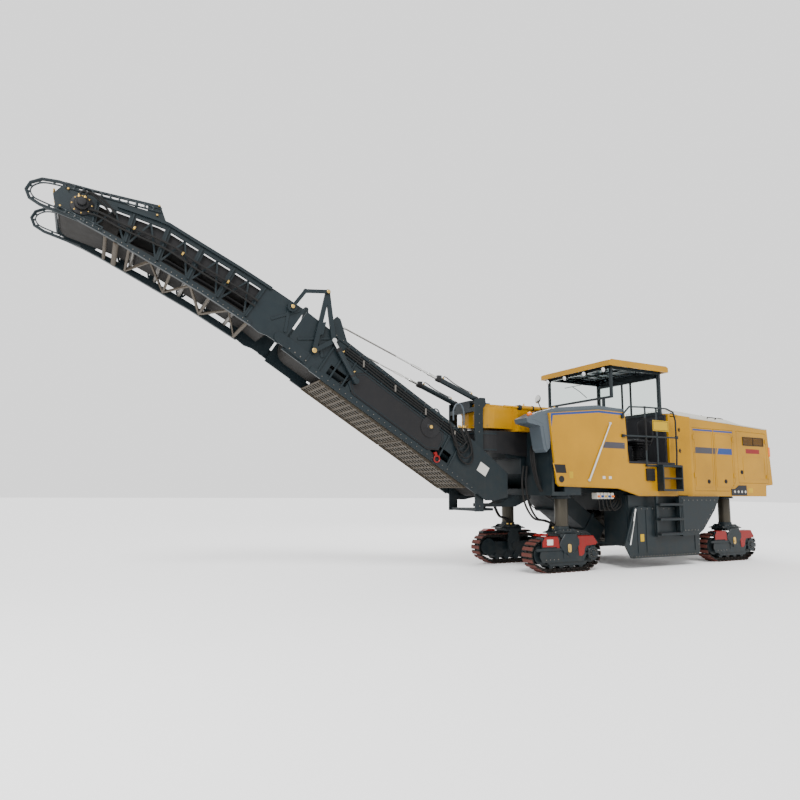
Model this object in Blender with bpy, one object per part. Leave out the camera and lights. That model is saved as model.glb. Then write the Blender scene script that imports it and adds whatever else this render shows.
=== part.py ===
"""Tracked cold planer: a two metre milling machine with a folding discharge conveyor.

Metres, +X forwards (the conveyor's end), +Y to the machine's left, +Z up, ground at Z = 0.
The shapes are written with X = 0 between the axles; ORIGIN_SHIFT then centres the whole box.
"""
import math

import bmesh
import bpy
from mathutils import Matrix, Vector

# Overall sizes
ORIGIN_SHIFT = -3.5284
BODY_HALF_WIDTH = 1.22
SKIN = 0.04                 # thickness of body panels and doors
SEAT = 0.0005               # gap between two pieces that rest on each other
TURNING = 0.006             # gap round a moving piece
PIN_RADIUS = 0.055          # slewing pins, and the bores they turn in
PIN_BORE = PIN_RADIUS + 0.0018

# Tracks and lifting columns
AXLE_FRONT = 2.00
AXLE_REAR = -2.70
TRACK_OFFSET = 0.84         # from the centre plane to a track's middle
TRACK_WIDTH = 0.30
TRACK_HALF_LENGTH = 0.84
TRACK_HEIGHT = 0.60
SHOE_COUNT = 34
SHOE_RISE = 0.024
BELT_THICK = 0.055
COLUMN_RADIUS = 0.125
COLUMN_BORE = COLUMN_RADIUS + 0.003         # a 16-sided column turns inside this 16-sided bore
COLUMN_TOP = 1.56
SADDLE_Z = 0.655

# Chassis
FRAME_BOTTOM = 1.40
FRAME_TOP = 1.75
BEAM_INNER = 0.45
BEAM_OUTER = 0.60
BULKHEAD_X = 2.44
NOSE_BOTTOM = 2.60
NOSE_TOP = 3.10
NOSE_HALF_WIDTH = 0.40

# Milling drum and its housing
DRUM_X = -0.35
DRUM_Z = 0.80
DRUM_RADIUS = 0.48
DRUM_HALF_WIDTH = 1.00
HOUSING_TOP = 1.415
PLATE_BOTTOM = 0.20
PLATE_LIFT = 0.20

# Engine house
HOUSE_FRONT = -0.78
HOUSE_REAR = -3.85
HOUSE_TAIL = -3.94
DOOR_BOTTOM = 1.51
DOOR_TOP = 2.84
PANEL_BOTTOM = 1.69
DOOR_FRONT_X = -1.30
DOOR_SPLIT_X = -1.96
DOOR_REAR_X = -2.62
PANEL_FRONT_X = -2.74
PANEL_REAR_X = -3.78
HINGE_RADIUS = 0.008

# Operator's stand and canopy
FLOOR_TOP = 2.08
STAND_FRONT = 0.62
ROOF_HALF_LENGTH = 0.85
ROOF_HALF_WIDTH = 1.06
ROOF_BOTTOM = 4.00
ROOF_TOP = 4.13
SCREEN_X = 0.70
SCREEN_BOTTOM = 3.36

# Discharge conveyor
SLEW_X = 3.20
BOOM_FOOT = (3.40, 1.25)
BOOM_PITCH = math.radians(31.4)
BOOM_DEPTH = 0.78
BOOM_SPLIT = 4.66           # along the boom, where the inner section ends
BOOM_HALF_WIDTH = 0.53
BOOM_WALL = 0.03
LIFT_PIVOT = (3.59, 1.72)
FOLD_PIVOT = (7.42, 3.86)
BELT_HALF_WIDTH = 0.40
MAST_X = 3.50
MAST_DEPTH = 0.18
MAST_FACE = BOOM_HALF_WIDTH - 0.06      # outer face of a mast post
MAST_TOP = 3.20
LIFT_EYE = (3.50, 3.14)     # foot of a lift cylinder, on the mast
STAY_EYE = (6.45, 4.27)     # where a lift stay meets the inner section
STAY_Y = MAST_FACE - 0.10
LEVER_PIVOT = (6.85, 3.70)
LEVER_HEAD = (6.65, 4.71)
LEVER_ARM = (6.52, 3.90)
ROOT_EYE = (7.24, 4.37)
FOLD_CYLINDER_FOOT = (6.12, 3.26)
LINK_Y = BOOM_HALF_WIDTH + 0.045        # middle of the fold linkage's plates

COLOURS = {
    "yellow": (0.58, 0.30, 0.015),
    "slate": (0.035, 0.055, 0.07),
    "black": (0.02, 0.02, 0.02),
    "charcoal": (0.045, 0.047, 0.055),
    "steel": (0.35, 0.35, 0.33),
    "silver": (0.70, 0.69, 0.63),
    "grey": (0.17, 0.20, 0.23),
    "glass": (0.70, 0.80, 0.78),
}


# ------------------------------------------------------------------ helpers
def clear_scene():
    for item in list(bpy.data.objects):
        bpy.data.objects.remove(item, do_unlink=True)


def new_collection(name, helper):
    made = bpy.data.collections.new(name)
    bpy.context.scene.collection.children.link(made)
    made.hide_render = helper
    return made


def material(key):
    found = bpy.data.materials.get(key)
    if found:
        return found
    made = bpy.data.materials.new(key)
    made.use_nodes = True
    shader = made.node_tree.nodes["Principled BSDF"]
    shader.inputs["Base Color"].default_value = (*COLOURS[key], 1.0)
    shader.inputs["Roughness"].default_value = 0.45
    return made


def welded(curve_object):
    """The closed mesh object that a curve object makes."""
    bpy.context.collection.objects.link(curve_object)
    bpy.context.view_layer.update()
    graph = bpy.context.evaluated_depsgraph_get()
    mesh = bpy.data.meshes.new_from_object(curve_object.evaluated_get(graph))
    mesh.transform(curve_object.matrix_world)
    bpy.data.objects.remove(curve_object, do_unlink=True)
    weld(mesh)
    return bpy.data.objects.new("piece", mesh)


def weld(mesh):
    work = bmesh.new()
    work.from_mesh(mesh)
    bmesh.ops.remove_doubles(work, verts=work.verts, dist=0.00005)
    bmesh.ops.recalc_face_normals(work, faces=work.faces)
    work.to_mesh(mesh)
    work.free()


def box(x0, x1, y0, y1, z0, z1):
    work = bmesh.new()
    bmesh.ops.create_cube(work, size=1.0)
    size = Matrix.Diagonal((abs(x1 - x0), abs(y1 - y0), abs(z1 - z0), 1.0))
    middle = Matrix.Translation(((x0 + x1) / 2, (y0 + y1) / 2, (z0 + z1) / 2))
    work.transform(middle @ size)
    mesh = bpy.data.meshes.new("box")
    work.to_mesh(mesh)
    work.free()
    return bpy.data.objects.new("piece", mesh)


def rod(start, end, radius, sides=16, end_radius=None):
    start, end = Vector(start), Vector(end)
    along = end - start
    work = bmesh.new()
    bmesh.ops.create_cone(
        work, cap_ends=True, segments=sides, radius1=radius,
        radius2=radius if end_radius is None else end_radius, depth=along.length,
    )
    turn = along.to_track_quat("Z", "Y").to_matrix().to_4x4()
    work.transform(Matrix.Translation((start + end) / 2) @ turn)
    mesh = bpy.data.meshes.new("rod")
    work.to_mesh(mesh)
    work.free()
    return bpy.data.objects.new("piece", mesh)


def plate(outline, low, high, plane="xz", holes=()):
    """A flat plate with this outline, between low and high on the third axis."""
    curve = bpy.data.curves.new("plate", "CURVE")
    curve.dimensions = "2D"
    curve.fill_mode = "BOTH"
    curve.extrude = abs(high - low) / 2
    for loop in (outline, *holes):
        spline = curve.splines.new("POLY")
        spline.points.add(len(loop) - 1)
        for point, (a, b) in zip(spline.points, loop):
            point.co = (a, b, 0.0, 1.0)
        spline.use_cyclic_u = True
    middle = (low + high) / 2
    if plane == "xz":
        turn = Matrix(((1, 0, 0, 0), (0, 0, -1, middle), (0, 1, 0, 0), (0, 0, 0, 1)))
    elif plane == "xy":
        turn = Matrix.Translation((0, 0, middle))
    else:
        turn = Matrix(((0, 0, 1, middle), (1, 0, 0, 0), (0, 1, 0, 0), (0, 0, 0, 1)))
    held = bpy.data.objects.new("plate", curve)
    held.matrix_world = turn
    return welded(held)


def tube(points, radius, resolution=1, closed=False):
    curve = bpy.data.curves.new("tube", "CURVE")
    curve.dimensions = "3D"
    curve.bevel_depth = radius
    curve.bevel_resolution = resolution
    curve.use_fill_caps = True
    spline = curve.splines.new("POLY")
    spline.points.add(len(points) - 1)
    for point, place in zip(spline.points, points):
        point.co = (*place, 1.0)
    spline.use_cyclic_u = closed
    return welded(bpy.data.objects.new("tube", curve))


def disc(centre, radius, sides=20):
    return [
        (centre[0] + radius * math.cos(2 * math.pi * i / sides),
         centre[1] + radius * math.sin(2 * math.pi * i / sides))
        for i in range(sides)
    ]


def node(name, colour, pieces, cuts=(), pivot=(0.0, 0.0, 0.0)):
    """One solid from its pieces less its cuts, with its origin at the pivot."""
    main = pieces[0]
    main.name = name
    PARTS.objects.link(main)
    main.data.transform(Matrix.Translation(-Vector(pivot)))
    main.parent = ANCHOR
    main.location = pivot
    main.data.materials.append(material(colour))
    JOINS.append((main, "UNION", pieces[1:]))
    JOINS.append((main, "DIFFERENCE", list(cuts)))
    return main


def join_all():
    """Adds every Boolean once all the pieces exist, so that each is worked out once."""
    for main, kind, others in JOINS:
        if not others:
            continue
        held = new_collection(f"{main.name}_{kind.lower()}", True)
        for other in others:
            held.objects.link(other)
            other.parent = ANCHOR
            other.hide_render = True
            other.display_type = "WIRE"
        step = main.modifiers.new(kind.lower(), "BOOLEAN")
        step.operation = kind
        step.operand_type = "COLLECTION"
        step.collection = held
        step.solver = "EXACT"


def both_sides(make):
    return [make(1), make(-1)]


def across(low, high, side):
    """Low and high distances from the centre plane, as Y values on this side."""
    return (low, high) if side > 0 else (-high, -low)


# ------------------------------------------------------------------- tracks
def loop_path(grow):
    """The loop's outline round its two end wheels and two bottom rollers, grown by this much."""
    end_r, low_r = 0.265, 0.12
    end_x = TRACK_HALF_LENGTH - end_r
    end_z = TRACK_HEIGHT - end_r
    circles = [(end_x, end_z, end_r), (-end_x, end_z, end_r),
               (0.46, low_r, low_r), (-0.46, low_r, low_r)]
    points = []
    for i in range(96):
        a = 2 * math.pi * i / 96
        x, z, r = max(circles, key=lambda c: c[0] * math.cos(a) + c[1] * math.sin(a) + c[2])
        points.append((x + (r + grow) * math.cos(a), z + (r + grow) * math.sin(a)))
    return points


def along_loop(points, count):
    """Count points at equal spacing round a closed outline."""
    lengths = [0.0]
    for a, b in zip(points, points[1:] + points[:1]):
        lengths.append(lengths[-1] + math.dist(a, b))
    found, i = [], 0
    for k in range(count):
        want = lengths[-1] * k / count
        while lengths[i + 1] < want:
            i += 1
        a, b = points[i], points[(i + 1) % len(points)]
        t = (want - lengths[i]) / (lengths[i + 1] - lengths[i])
        found.append((a[0] + (b[0] - a[0]) * t, a[1] + (b[1] - a[1]) * t))
    return found


def track(name, axle_x, side):
    steps = SHOE_COUNT * 8
    low = along_loop(loop_path(-SHOE_RISE), steps)
    high = along_loop(loop_path(0.0), steps)
    outer = []
    for k in range(SHOE_COUNT):
        a, b = 8 * k, 8 * k + 6
        outer += [low[a], high[a], high[b], low[b]]
    inner = along_loop(loop_path(-SHOE_RISE - BELT_THICK), 44)
    y = side * TRACK_OFFSET
    half = TRACK_WIDTH / 2
    rim = [(x + axle_x, z) for x, z in outer]
    hole = [(x + axle_x, z) for x, z in inner]
    ring = plate(rim, y - half, y + half, holes=(hole,))
    return node(name, "charcoal", [ring], pivot=(axle_x, y, 0.0))


def undercarriage(name, axle_x, side):
    """Track frame, wheels, saddle over the track, guards and the lifting column."""
    y = side * TRACK_OFFSET
    half = TRACK_WIDTH / 2
    inside = SHOE_RISE + BELT_THICK + 0.002
    end_r = 0.265 - inside - 0.008
    end_x = TRACK_HALF_LENGTH - 0.265
    end_z = TRACK_HEIGHT - 0.265
    pieces = [box(axle_x - 0.50, axle_x + 0.48, y - 0.09, y + 0.09, 0.16, 0.44)]
    for x in (end_x, -end_x):
        pieces.append(rod((axle_x + x, y - 0.11, end_z), (axle_x + x, y + 0.11, end_z), end_r, 18))
    for x in (-0.36, -0.12, 0.12, 0.36):
        r = 0.07
        z = SHOE_RISE + BELT_THICK + SEAT + r
        pieces.append(rod((axle_x + x, y - 0.11, z), (axle_x + x, y + 0.11, z), r, 10))
    pin_z = 0.36
    reach = half + 0.055
    pieces.append(rod((axle_x, y - reach - 0.01, pin_z), (axle_x, y + reach + 0.01, pin_z), 0.055, 14))
    for out in (1, -1):
        near, far = sorted((y + out * (half + 0.012), y + out * (half + 0.05)))
        arm = [(-0.13, 0.27), (0.13, 0.27), (0.15, 0.50), (0.10, SADDLE_Z + 0.02),
               (-0.10, SADDLE_Z + 0.02), (-0.15, 0.50)]
        pieces.append(plate([(axle_x + a, b) for a, b in arm], near, far))
        rail = [(-0.30, 0.24), (0.62, 0.24), (0.66, 0.33), (0.60, 0.40), (-0.30, 0.40)]
        near, far = sorted((y + out * (half + 0.008), y + out * (half + 0.032)))
        if out == side:
            pieces.append(plate([(axle_x + a, b) for a, b in rail], near, far))
            for ends in ((0.20, 0.62), (-0.62, -0.20)):
                x0, x1 = axle_x + ends[0], axle_x + ends[1]
                shape = [(x0, 0.38), (x1, 0.38), (x1, 0.62), (x0, 0.64)]
                pieces.append(plate(shape, near, far + 0.006 * out if out > 0 else far))
                pieces.append(box(x0, x1, y + out * 0.02, y + out * (half + 0.03), 0.612, 0.645))
            pieces.append(box(axle_x - 0.60, axle_x + 0.60, near, far, 0.375, 0.405))
        hub = rod((axle_x - end_x, y, end_z), (axle_x - end_x, y + out * (half + 0.03), end_z), 0.11, 12)
        pieces.append(hub)
    pieces.append(box(axle_x - 0.20, axle_x + 0.20, y - half - 0.05, y + half + 0.05,
                      SADDLE_Z, SADDLE_Z + 0.05))
    pieces.append(rod((axle_x, y, SADDLE_Z + 0.01), (axle_x, y, COLUMN_TOP), COLUMN_RADIUS, 16))
    return node(name, "slate", pieces, pivot=(axle_x, y, SADDLE_Z))


# ------------------------------------------------------------------ chassis
def main_frame():
    pieces = []
    for side in (1, -1):
        y0, y1 = across(BEAM_INNER, BEAM_OUTER, side)
        pieces.append(box(-3.60, BULKHEAD_X + 0.05, y0, y1, FRAME_BOTTOM + 0.05, FRAME_TOP))
        for axle in (AXLE_FRONT, AXLE_REAR):
            y = side * TRACK_OFFSET
            pieces.append(rod((axle, y, FRAME_BOTTOM - 0.02), (axle, y, COLUMN_TOP + 0.06),
                              COLUMN_RADIUS + 0.065, 16))
    wide = BODY_HALF_WIDTH - SKIN - SEAT
    pieces.append(box(2.16, BULKHEAD_X + 0.02, -wide, wide, FRAME_BOTTOM, FRAME_BOTTOM + 0.07))
    for side in (1, -1):
        pieces.append(box(AXLE_FRONT - 0.20, 2.20, *across(BEAM_INNER + 0.02, wide, side),
                          FRAME_BOTTOM + 0.01, FRAME_BOTTOM + 0.19))
    pieces.append(box(AXLE_REAR - 0.25, AXLE_REAR + 0.25, -wide, wide,
                      FRAME_BOTTOM + 0.04, FRAME_TOP - 0.05))
    pieces.append(box(-1.10, 0.52, -0.95, 0.95, HOUSING_TOP + SEAT, HOUSING_TOP + 0.08))
    opening = [(-0.45, 1.52), (0.45, 1.52), (0.45, NOSE_BOTTOM - 0.06), (-0.45, NOSE_BOTTOM - 0.06)]
    face = [(-wide, FRAME_BOTTOM), (wide, FRAME_BOTTOM), (wide, NOSE_BOTTOM), (-wide, NOSE_BOTTOM)]
    pieces.append(plate(face, BULKHEAD_X, BULKHEAD_X + 0.05, "yz", holes=(opening,)))
    tongue = [(2.18, FRAME_BOTTOM + 0.03), (2.42, FRAME_BOTTOM + 0.03), (2.95, 1.24),
              (SLEW_X + 0.12, 1.24), (SLEW_X + 0.12, 1.175), (2.55, 1.175), (2.18, 1.33)]
    pieces.append(plate(tongue, -0.16, 0.16))
    cuts = [rod((SLEW_X, 0, 1.10), (SLEW_X, 0, 1.35), PIN_BORE, 16)]
    for side in (1, -1):
        for axle in (AXLE_FRONT, AXLE_REAR):
            y = side * TRACK_OFFSET
            cuts.append(rod((axle, y, FRAME_BOTTOM - 0.10), (axle, y, COLUMN_TOP + SEAT),
                            COLUMN_BORE, 16))
    return node("main_frame", "slate", pieces, cuts)


def slew_frame():
    side_view = [(1.75, NOSE_BOTTOM + 0.20), (1.75, NOSE_TOP - 0.02), (2.78, NOSE_TOP),
                 (2.78, NOSE_BOTTOM + SEAT), (2.0, NOSE_BOTTOM + SEAT)]
    pieces = [plate(side_view, -0.58, 0.58)]
    nose = [(2.70, -NOSE_HALF_WIDTH), (SLEW_X, -NOSE_HALF_WIDTH)]
    nose += [(SLEW_X + 0.40 * math.cos(a), 0.40 * math.sin(a))
             for a in [math.radians(d) for d in range(-75, 76, 15)]]
    nose += [(SLEW_X, NOSE_HALF_WIDTH), (2.70, NOSE_HALF_WIDTH)]
    pieces.append(plate(nose, NOSE_BOTTOM + 0.05, NOSE_TOP, "xy"))
    for side in (1, -1):
        y0, y1 = across(0.56, 0.80, side)
        pieces.append(box(1.86, 1.98, y0, y1, 2.97, 3.07))
        pieces.append(rod((1.92, side * 0.74, 3.03), (2.86, side * 0.74, 3.03), 0.045, 14))
        pieces.append(rod((2.80, side * 0.74, 3.03), (3.22, side * 0.74, 3.03), 0.024, 12))
    cuts = [rod((SLEW_X, 0, 2.90), (SLEW_X, 0, NOSE_TOP + 0.1), PIN_BORE, 16)]
    return node("slew_frame", "yellow", pieces, cuts)


def hopper_shell():
    """Round hood over the transfer point, open below and behind."""
    def outline(radius, back):
        bend = [(SLEW_X + radius * math.cos(a), radius * math.sin(a))
                for a in [math.radians(d) for d in range(-90, 91, 10)]]
        return [(back, -radius), *bend, (back, radius)]
    back = BULKHEAD_X + 0.05 + SEAT
    outer = plate(outline(0.47, back), 1.80, NOSE_BOTTOM - 0.005, "xy")
    inner = plate(outline(0.44, back - 0.1), 1.70, NOSE_BOTTOM - 0.03, "xy")
    under = [(2.30, 1.60), (3.80, 1.60), (3.80, 2.26), (SLEW_X + 0.2, 2.20), (2.30, 2.12)]
    return node("hopper_shell", "black", [outer], [inner, plate(under, -0.6, 0.6)])


def primary_conveyor():
    """Covered conveyor that lifts the millings from the drum to the transfer point."""
    foot, head = (0.56, 0.62), (2.86, 2.20)
    along = Vector((head[0] - foot[0], head[1] - foot[1])).normalized()
    up = Vector((-along.y, along.x))
    def at(u, v, base):
        return (base[0] + u * along.x + v * up.x, base[1] + u * along.y + v * up.y)
    chin = 2.10
    shape = [at(0, -0.17, foot), at(0, 0.17, foot), at(0, 0.17, head), (2.98, 2.24), (2.92, chin),
             (2.58, chin), at(-0.45, -0.17, head)]
    pieces = [plate(shape, -0.40, 0.40)]
    for share in (0.15, 0.4, 0.65):
        base = (foot[0] + share * (head[0] - foot[0]), foot[1] + share * (head[1] - foot[1]))
        rib = [at(-0.03, -0.20, base), at(-0.03, 0.20, base), at(0.03, 0.20, base), at(0.03, -0.20, base)]
        pieces.append(plate(rib, -0.43, 0.43))
    hanger = [(1.98, 1.46 + SEAT), (2.10, 1.46 + SEAT), (2.10, 1.90), (1.98, 1.90)]
    for side in (1, -1):
        pieces.append(plate([(a, b + 0.01) for a, b in hanger], *across(0.38, BEAM_INNER - SEAT, side)))
    return node("primary_conveyor", "slate", pieces)


def drum_housing():
    inner = DRUM_HALF_WIDTH + 0.03
    side_x0, side_x1 = -1.05, 0.50
    top = HOUSING_TOP
    under = FRAME_BOTTOM - SEAT
    pieces = [box(side_x0, side_x1, -inner - 0.05, inner + 0.05, top - 0.04, top)]
    plate_y = BODY_HALF_WIDTH - 0.09
    for side in (1, -1):
        y0, y1 = across(inner, inner + 0.05, side)
        wall = [(side_x0, 0.50), (side_x1, 0.42), (side_x1, top), (-1.62, top), (-1.62, 1.05),
                (side_x0, 0.95)]
        pieces.append(plate(wall, y0, y1))
        cover = [(-0.72, under), (-1.97, under), (-1.80, 1.12), (-1.42, 0.72), (-1.24, 0.62),
                 (-0.80, 0.60), (-0.72, 0.70)]
        c0, c1 = across(BODY_HALF_WIDTH - 0.03, BODY_HALF_WIDTH + 0.06, side)
        pieces.append(plate(cover, c0, c1))
        w0, w1 = across(inner + 0.02, BODY_HALF_WIDTH, side)
        pieces.append(box(-1.60, -1.50, w0, w1, 1.10, under - 0.01))
        r0, r1 = across(BODY_HALF_WIDTH - 0.02, BODY_HALF_WIDTH + 0.10, side)
        for z in (0.65, 0.94, 1.23):
            pieces.append(box(-0.78, -0.12, r0, r1, z - 0.018, z + 0.018))
        s0, s1 = across(BODY_HALF_WIDTH - 0.02, BODY_HALF_WIDTH + 0.02, side)
        pieces.append(box(-0.16, -0.10, s0, s1, 0.60, under))
        for x in (0.20, -1.20):
            p0, p1 = across(inner + 0.02, plate_y - SEAT, side)
            pieces.append(box(x - 0.08, x + 0.08, p0, p1, 0.95, 1.20))
    pieces.append(box(side_x0 - 0.02, side_x0 + 0.03, -inner - 0.02, inner + 0.02, 0.32, top - 0.01))
    edge = inner + 0.02
    front = [(-edge, 0.42), (edge, 0.42), (edge, top - 0.01), (-edge, top - 0.01)]
    mouth = [(-0.44, 0.47), (0.44, 0.47), (0.44, 1.10), (-0.44, 1.10)]
    pieces.append(plate(front, side_x1 - 0.03, side_x1 + 0.02, "yz", holes=(mouth,)))
    return node("drum_housing", "slate", pieces)


def side_plate(name, side):
    top = FRAME_BOTTOM - PLATE_LIFT - 0.02
    shape = [(0.44, top), (0.72, 0.47), (0.55, PLATE_BOTTOM + 0.01), (-1.35, PLATE_BOTTOM),
             (-1.42, PLATE_BOTTOM + 0.10), (-1.42, top - 0.10), (-1.32, top)]
    low, high = across(BODY_HALF_WIDTH - 0.09, BODY_HALF_WIDTH - 0.05, side)
    pieces = [plate(shape, low, high)]
    shoe0, shoe1 = across(BODY_HALF_WIDTH - 0.11, BODY_HALF_WIDTH - 0.04, side)
    pieces.append(box(-1.30, 0.50, shoe0, shoe1, PLATE_BOTTOM + 0.005, PLATE_BOTTOM + 0.05))
    return node(name, "slate", pieces, pivot=(-0.40, side * (BODY_HALF_WIDTH - 0.07), 0.75))


def milling_drum():
    teeth = 12
    outline = []
    for k in range(teeth):
        a = 2 * math.pi * k / teeth
        for turn, r in ((0.0, 0.405), (0.20, 0.405), (0.26, DRUM_RADIUS), (0.36, DRUM_RADIUS), (0.42, 0.405)):
            outline.append((DRUM_X + r * math.cos(a + turn), DRUM_Z + r * math.sin(a + turn)))
    pieces = [plate(outline, -DRUM_HALF_WIDTH + 0.02, DRUM_HALF_WIDTH - 0.02)]
    reach = DRUM_HALF_WIDTH + 0.03 - SEAT
    pieces.append(rod((DRUM_X, -reach, DRUM_Z), (DRUM_X, reach, DRUM_Z), 0.14, 20))
    return node("milling_drum", "steel", pieces, pivot=(DRUM_X, 0, DRUM_Z))


# ----------------------------------------------------------------- bodywork
def side_panel(name, side):
    outline = [(2.56, 2.90), (2.41, 1.62), (2.36, 1.57), (1.41, 1.55), (0.88, 1.54), (0.33, 1.40),
               (HOUSE_FRONT + 0.005, 1.40), (HOUSE_FRONT + 0.005, FLOOR_TOP - 0.05),
               (STAND_FRONT - 0.04, FLOOR_TOP - 0.05), (STAND_FRONT + 0.03, 3.03), (1.35, 3.04)]
    pieces = [plate(outline, *across(BODY_HALF_WIDTH - SKIN, BODY_HALF_WIDTH, side))]
    tank = [(2.40, 2.79), (2.36, FRAME_TOP + 0.02), (0.90, FRAME_TOP + 0.02),
            (0.78, FRAME_TOP + 0.1), (0.70, 2.79)]
    pieces.append(plate(tank, *across(0.63, BODY_HALF_WIDTH - SKIN / 2, side)))
    return node(name, "yellow", pieces)


def front_hood():
    side_view = [(STAND_FRONT + 0.04, 2.79 + SEAT), (STAND_FRONT + 0.04, 3.11), (0.82, 3.11), (1.35, 3.13),
                 (2.33, 3.02), (2.80, 2.90), (3.05, 2.78), (3.02, 2.70), (2.66, 2.64), (2.42, 2.79 + SEAT)]
    wide = BODY_HALF_WIDTH - SKIN - SEAT
    pieces = [plate(side_view, -wide, wide)]
    lamp = [(2.50, 2.84), (2.54, 2.24), (2.60, 2.18), (2.66, 2.24), (2.74, 2.66), (2.98, 2.74),
            (2.80, 2.86)]
    pieces += both_sides(lambda side: plate(lamp, *across(0.86, wide - 0.004, side)))
    cuts = [box(1.70, 3.3, -0.82, 0.82, 2.5, 3.3)]
    return node("front_hood", "grey", pieces, cuts)


def house_outline(inset):
    return [(HOUSE_FRONT - inset, FRAME_BOTTOM - (0.2 if inset else 0)),
            (HOUSE_FRONT - inset, 3.12 - inset), (-1.20, 3.06 - inset),
            (HOUSE_REAR + inset, 2.93 - inset), (HOUSE_TAIL + inset, 1.69),
            (HOUSE_TAIL + 0.01 + inset, 1.66), (-3.70 + inset, 1.64),
            (-3.68 + inset, FRAME_BOTTOM - (0.2 if inset else 0))]


def door_outlines(gap):
    """The three left doors' outlines, shrunk by the gap round each."""
    g = gap
    front = [(DOOR_FRONT_X - g, DOOR_BOTTOM + g), (DOOR_FRONT_X - g, DOOR_TOP - g),
             (DOOR_SPLIT_X + g, DOOR_TOP - g), (DOOR_SPLIT_X + g, DOOR_BOTTOM + g)]
    rear = [(DOOR_SPLIT_X - g, DOOR_BOTTOM + g), (DOOR_SPLIT_X - g, DOOR_TOP - g),
            (DOOR_REAR_X + g, DOOR_TOP - g), (DOOR_REAR_X + g, 1.70 + g), (-2.42 + g, DOOR_BOTTOM + g)]
    panel = [(PANEL_FRONT_X - g, PANEL_BOTTOM + g), (PANEL_FRONT_X - g, DOOR_TOP - g),
             (PANEL_REAR_X + g, DOOR_TOP - 0.02 - g), (PANEL_REAR_X + g, PANEL_BOTTOM + g)]
    return front, rear, panel


def engine_house():
    wide = BODY_HALF_WIDTH
    pieces = [plate(house_outline(0.0), -wide, wide)]
    inside = wide - SKIN
    cuts = [plate(house_outline(SKIN), -inside, inside)]
    front, rear, panel = door_outlines(0.0)
    both = [front[0], front[1], rear[2], rear[3], rear[4]]
    cuts.append(plate(both, inside - 0.05, wide + 0.05))
    cuts.append(plate(panel, inside - 0.05, wide + 0.05))
    cuts.append(box(PANEL_REAR_X, DOOR_SPLIT_X, -wide - 0.05, -inside + 0.05, PANEL_BOTTOM, DOOR_TOP - 0.02))
    cuts.append(box(-3.40, -1.00, -0.98, 0.98, 2.7, 3.4))
    cuts.append(box(HOUSE_FRONT - 0.1, HOUSE_FRONT + 0.1, -1.10, 1.10, 1.2, FRAME_TOP + 0.03))
    for side in (1, -1):
        corner = [(HOUSE_FRONT + 0.1, side * (wide - 0.17)), (HOUSE_FRONT - 0.002, side * (wide - 0.17)),
                  (-1.22, side * wide), (-1.22, side * (wide + 0.1)),
                  (HOUSE_FRONT + 0.1, side * (wide + 0.1))]
        cuts.append(plate(corner, 1.0, 3.5, "xy"))
    main = node("engine_house", "yellow", pieces, cuts)
    wall = [(HOUSE_FRONT - 0.002, wide - 0.171), (-1.20, wide - 0.009), (-1.20, wide - 0.049),
            (HOUSE_FRONT - 0.002, wide - 0.211)]
    corners = both_sides(
        lambda side: plate([(a, side * b) for a, b in wall], HOUSING_TOP + SEAT, 3.05, "xy"))
    JOINS.append((main, "UNION", corners))
    return main


def engine_block():
    pieces = [box(-3.10, -1.60, -0.52, 0.52, FRAME_TOP + SEAT, 2.55)]
    pieces.append(box(-3.55, -3.00, -0.62, 0.62, FRAME_TOP + SEAT, 2.75))
    pieces.append(rod((-1.9, 0.1, 2.5), (-2.8, 0.1, 2.72), 0.14, 14))
    return node("engine_block", "steel", pieces)


def engine_hood():
    """Crowned lid over the engine, a shell 25 mm thick."""

    def section(x, edge, crown, shoulder):
        wide = 1.08
        t = 0.025
        return [(x, -wide, edge), (x, -shoulder, crown), (x, shoulder, crown), (x, wide, edge),
                (x, wide - t, edge), (x, shoulder - t, crown - t), (x, -shoulder + t, crown - t),
                (x, -wide + t, edge)]
    stations = [(HOUSE_FRONT - 0.03, 3.12 + SEAT, 3.15, 0.80), (-1.20, 3.06 + SEAT, 3.28, 0.66),
                (-3.15, 2.966 + SEAT, 3.16, 0.70), (-3.46, 2.951 + SEAT, 3.02, 0.86)]
    work = bmesh.new()
    rings = [[work.verts.new(p) for p in section(*s)] for s in stations]
    for a, b in zip(rings, rings[1:]):
        for i in range(8):
            j = (i + 1) % 8
            work.faces.new((a[i], a[j], b[j], b[i]))
    for ring in (rings[0], rings[-1]):
        for i in range(3):
            work.faces.new((ring[i], ring[i + 1], ring[6 - i], ring[7 - i]))
    bmesh.ops.recalc_face_normals(work, faces=work.faces)
    mesh = bpy.data.meshes.new("hood")
    work.to_mesh(mesh)
    work.free()
    shell = bpy.data.objects.new("piece", mesh)
    return node("engine_hood", "silver", [shell], pivot=(-3.46, 0, 2.96))


def door(name, outline, side, hinge_x, inward):
    """A door with two hinges on the edge at hinge_x, from which it runs the inward way."""
    pieces = [plate(outline, *across(BODY_HALF_WIDTH - SKIN, BODY_HALF_WIDTH, side))]
    hinge_y = side * (BODY_HALF_WIDTH + HINGE_RADIUS + SEAT)
    for z in (PANEL_BOTTOM + 0.15, DOOR_TOP - 0.20):
        pieces.append(rod((hinge_x, hinge_y, z - 0.05), (hinge_x, hinge_y, z + 0.05), HINGE_RADIUS, 8))
        x0, x1 = sorted((hinge_x + inward * 0.002, hinge_x + inward * 0.045))
        y0, y1 = across(BODY_HALF_WIDTH - 0.01, BODY_HALF_WIDTH + 0.013, side)
        pieces.append(box(x0, x1, y0, y1, z - 0.045, z + 0.045))
    return node(name, "yellow", pieces, pivot=(hinge_x, hinge_y, 2.2))


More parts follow.
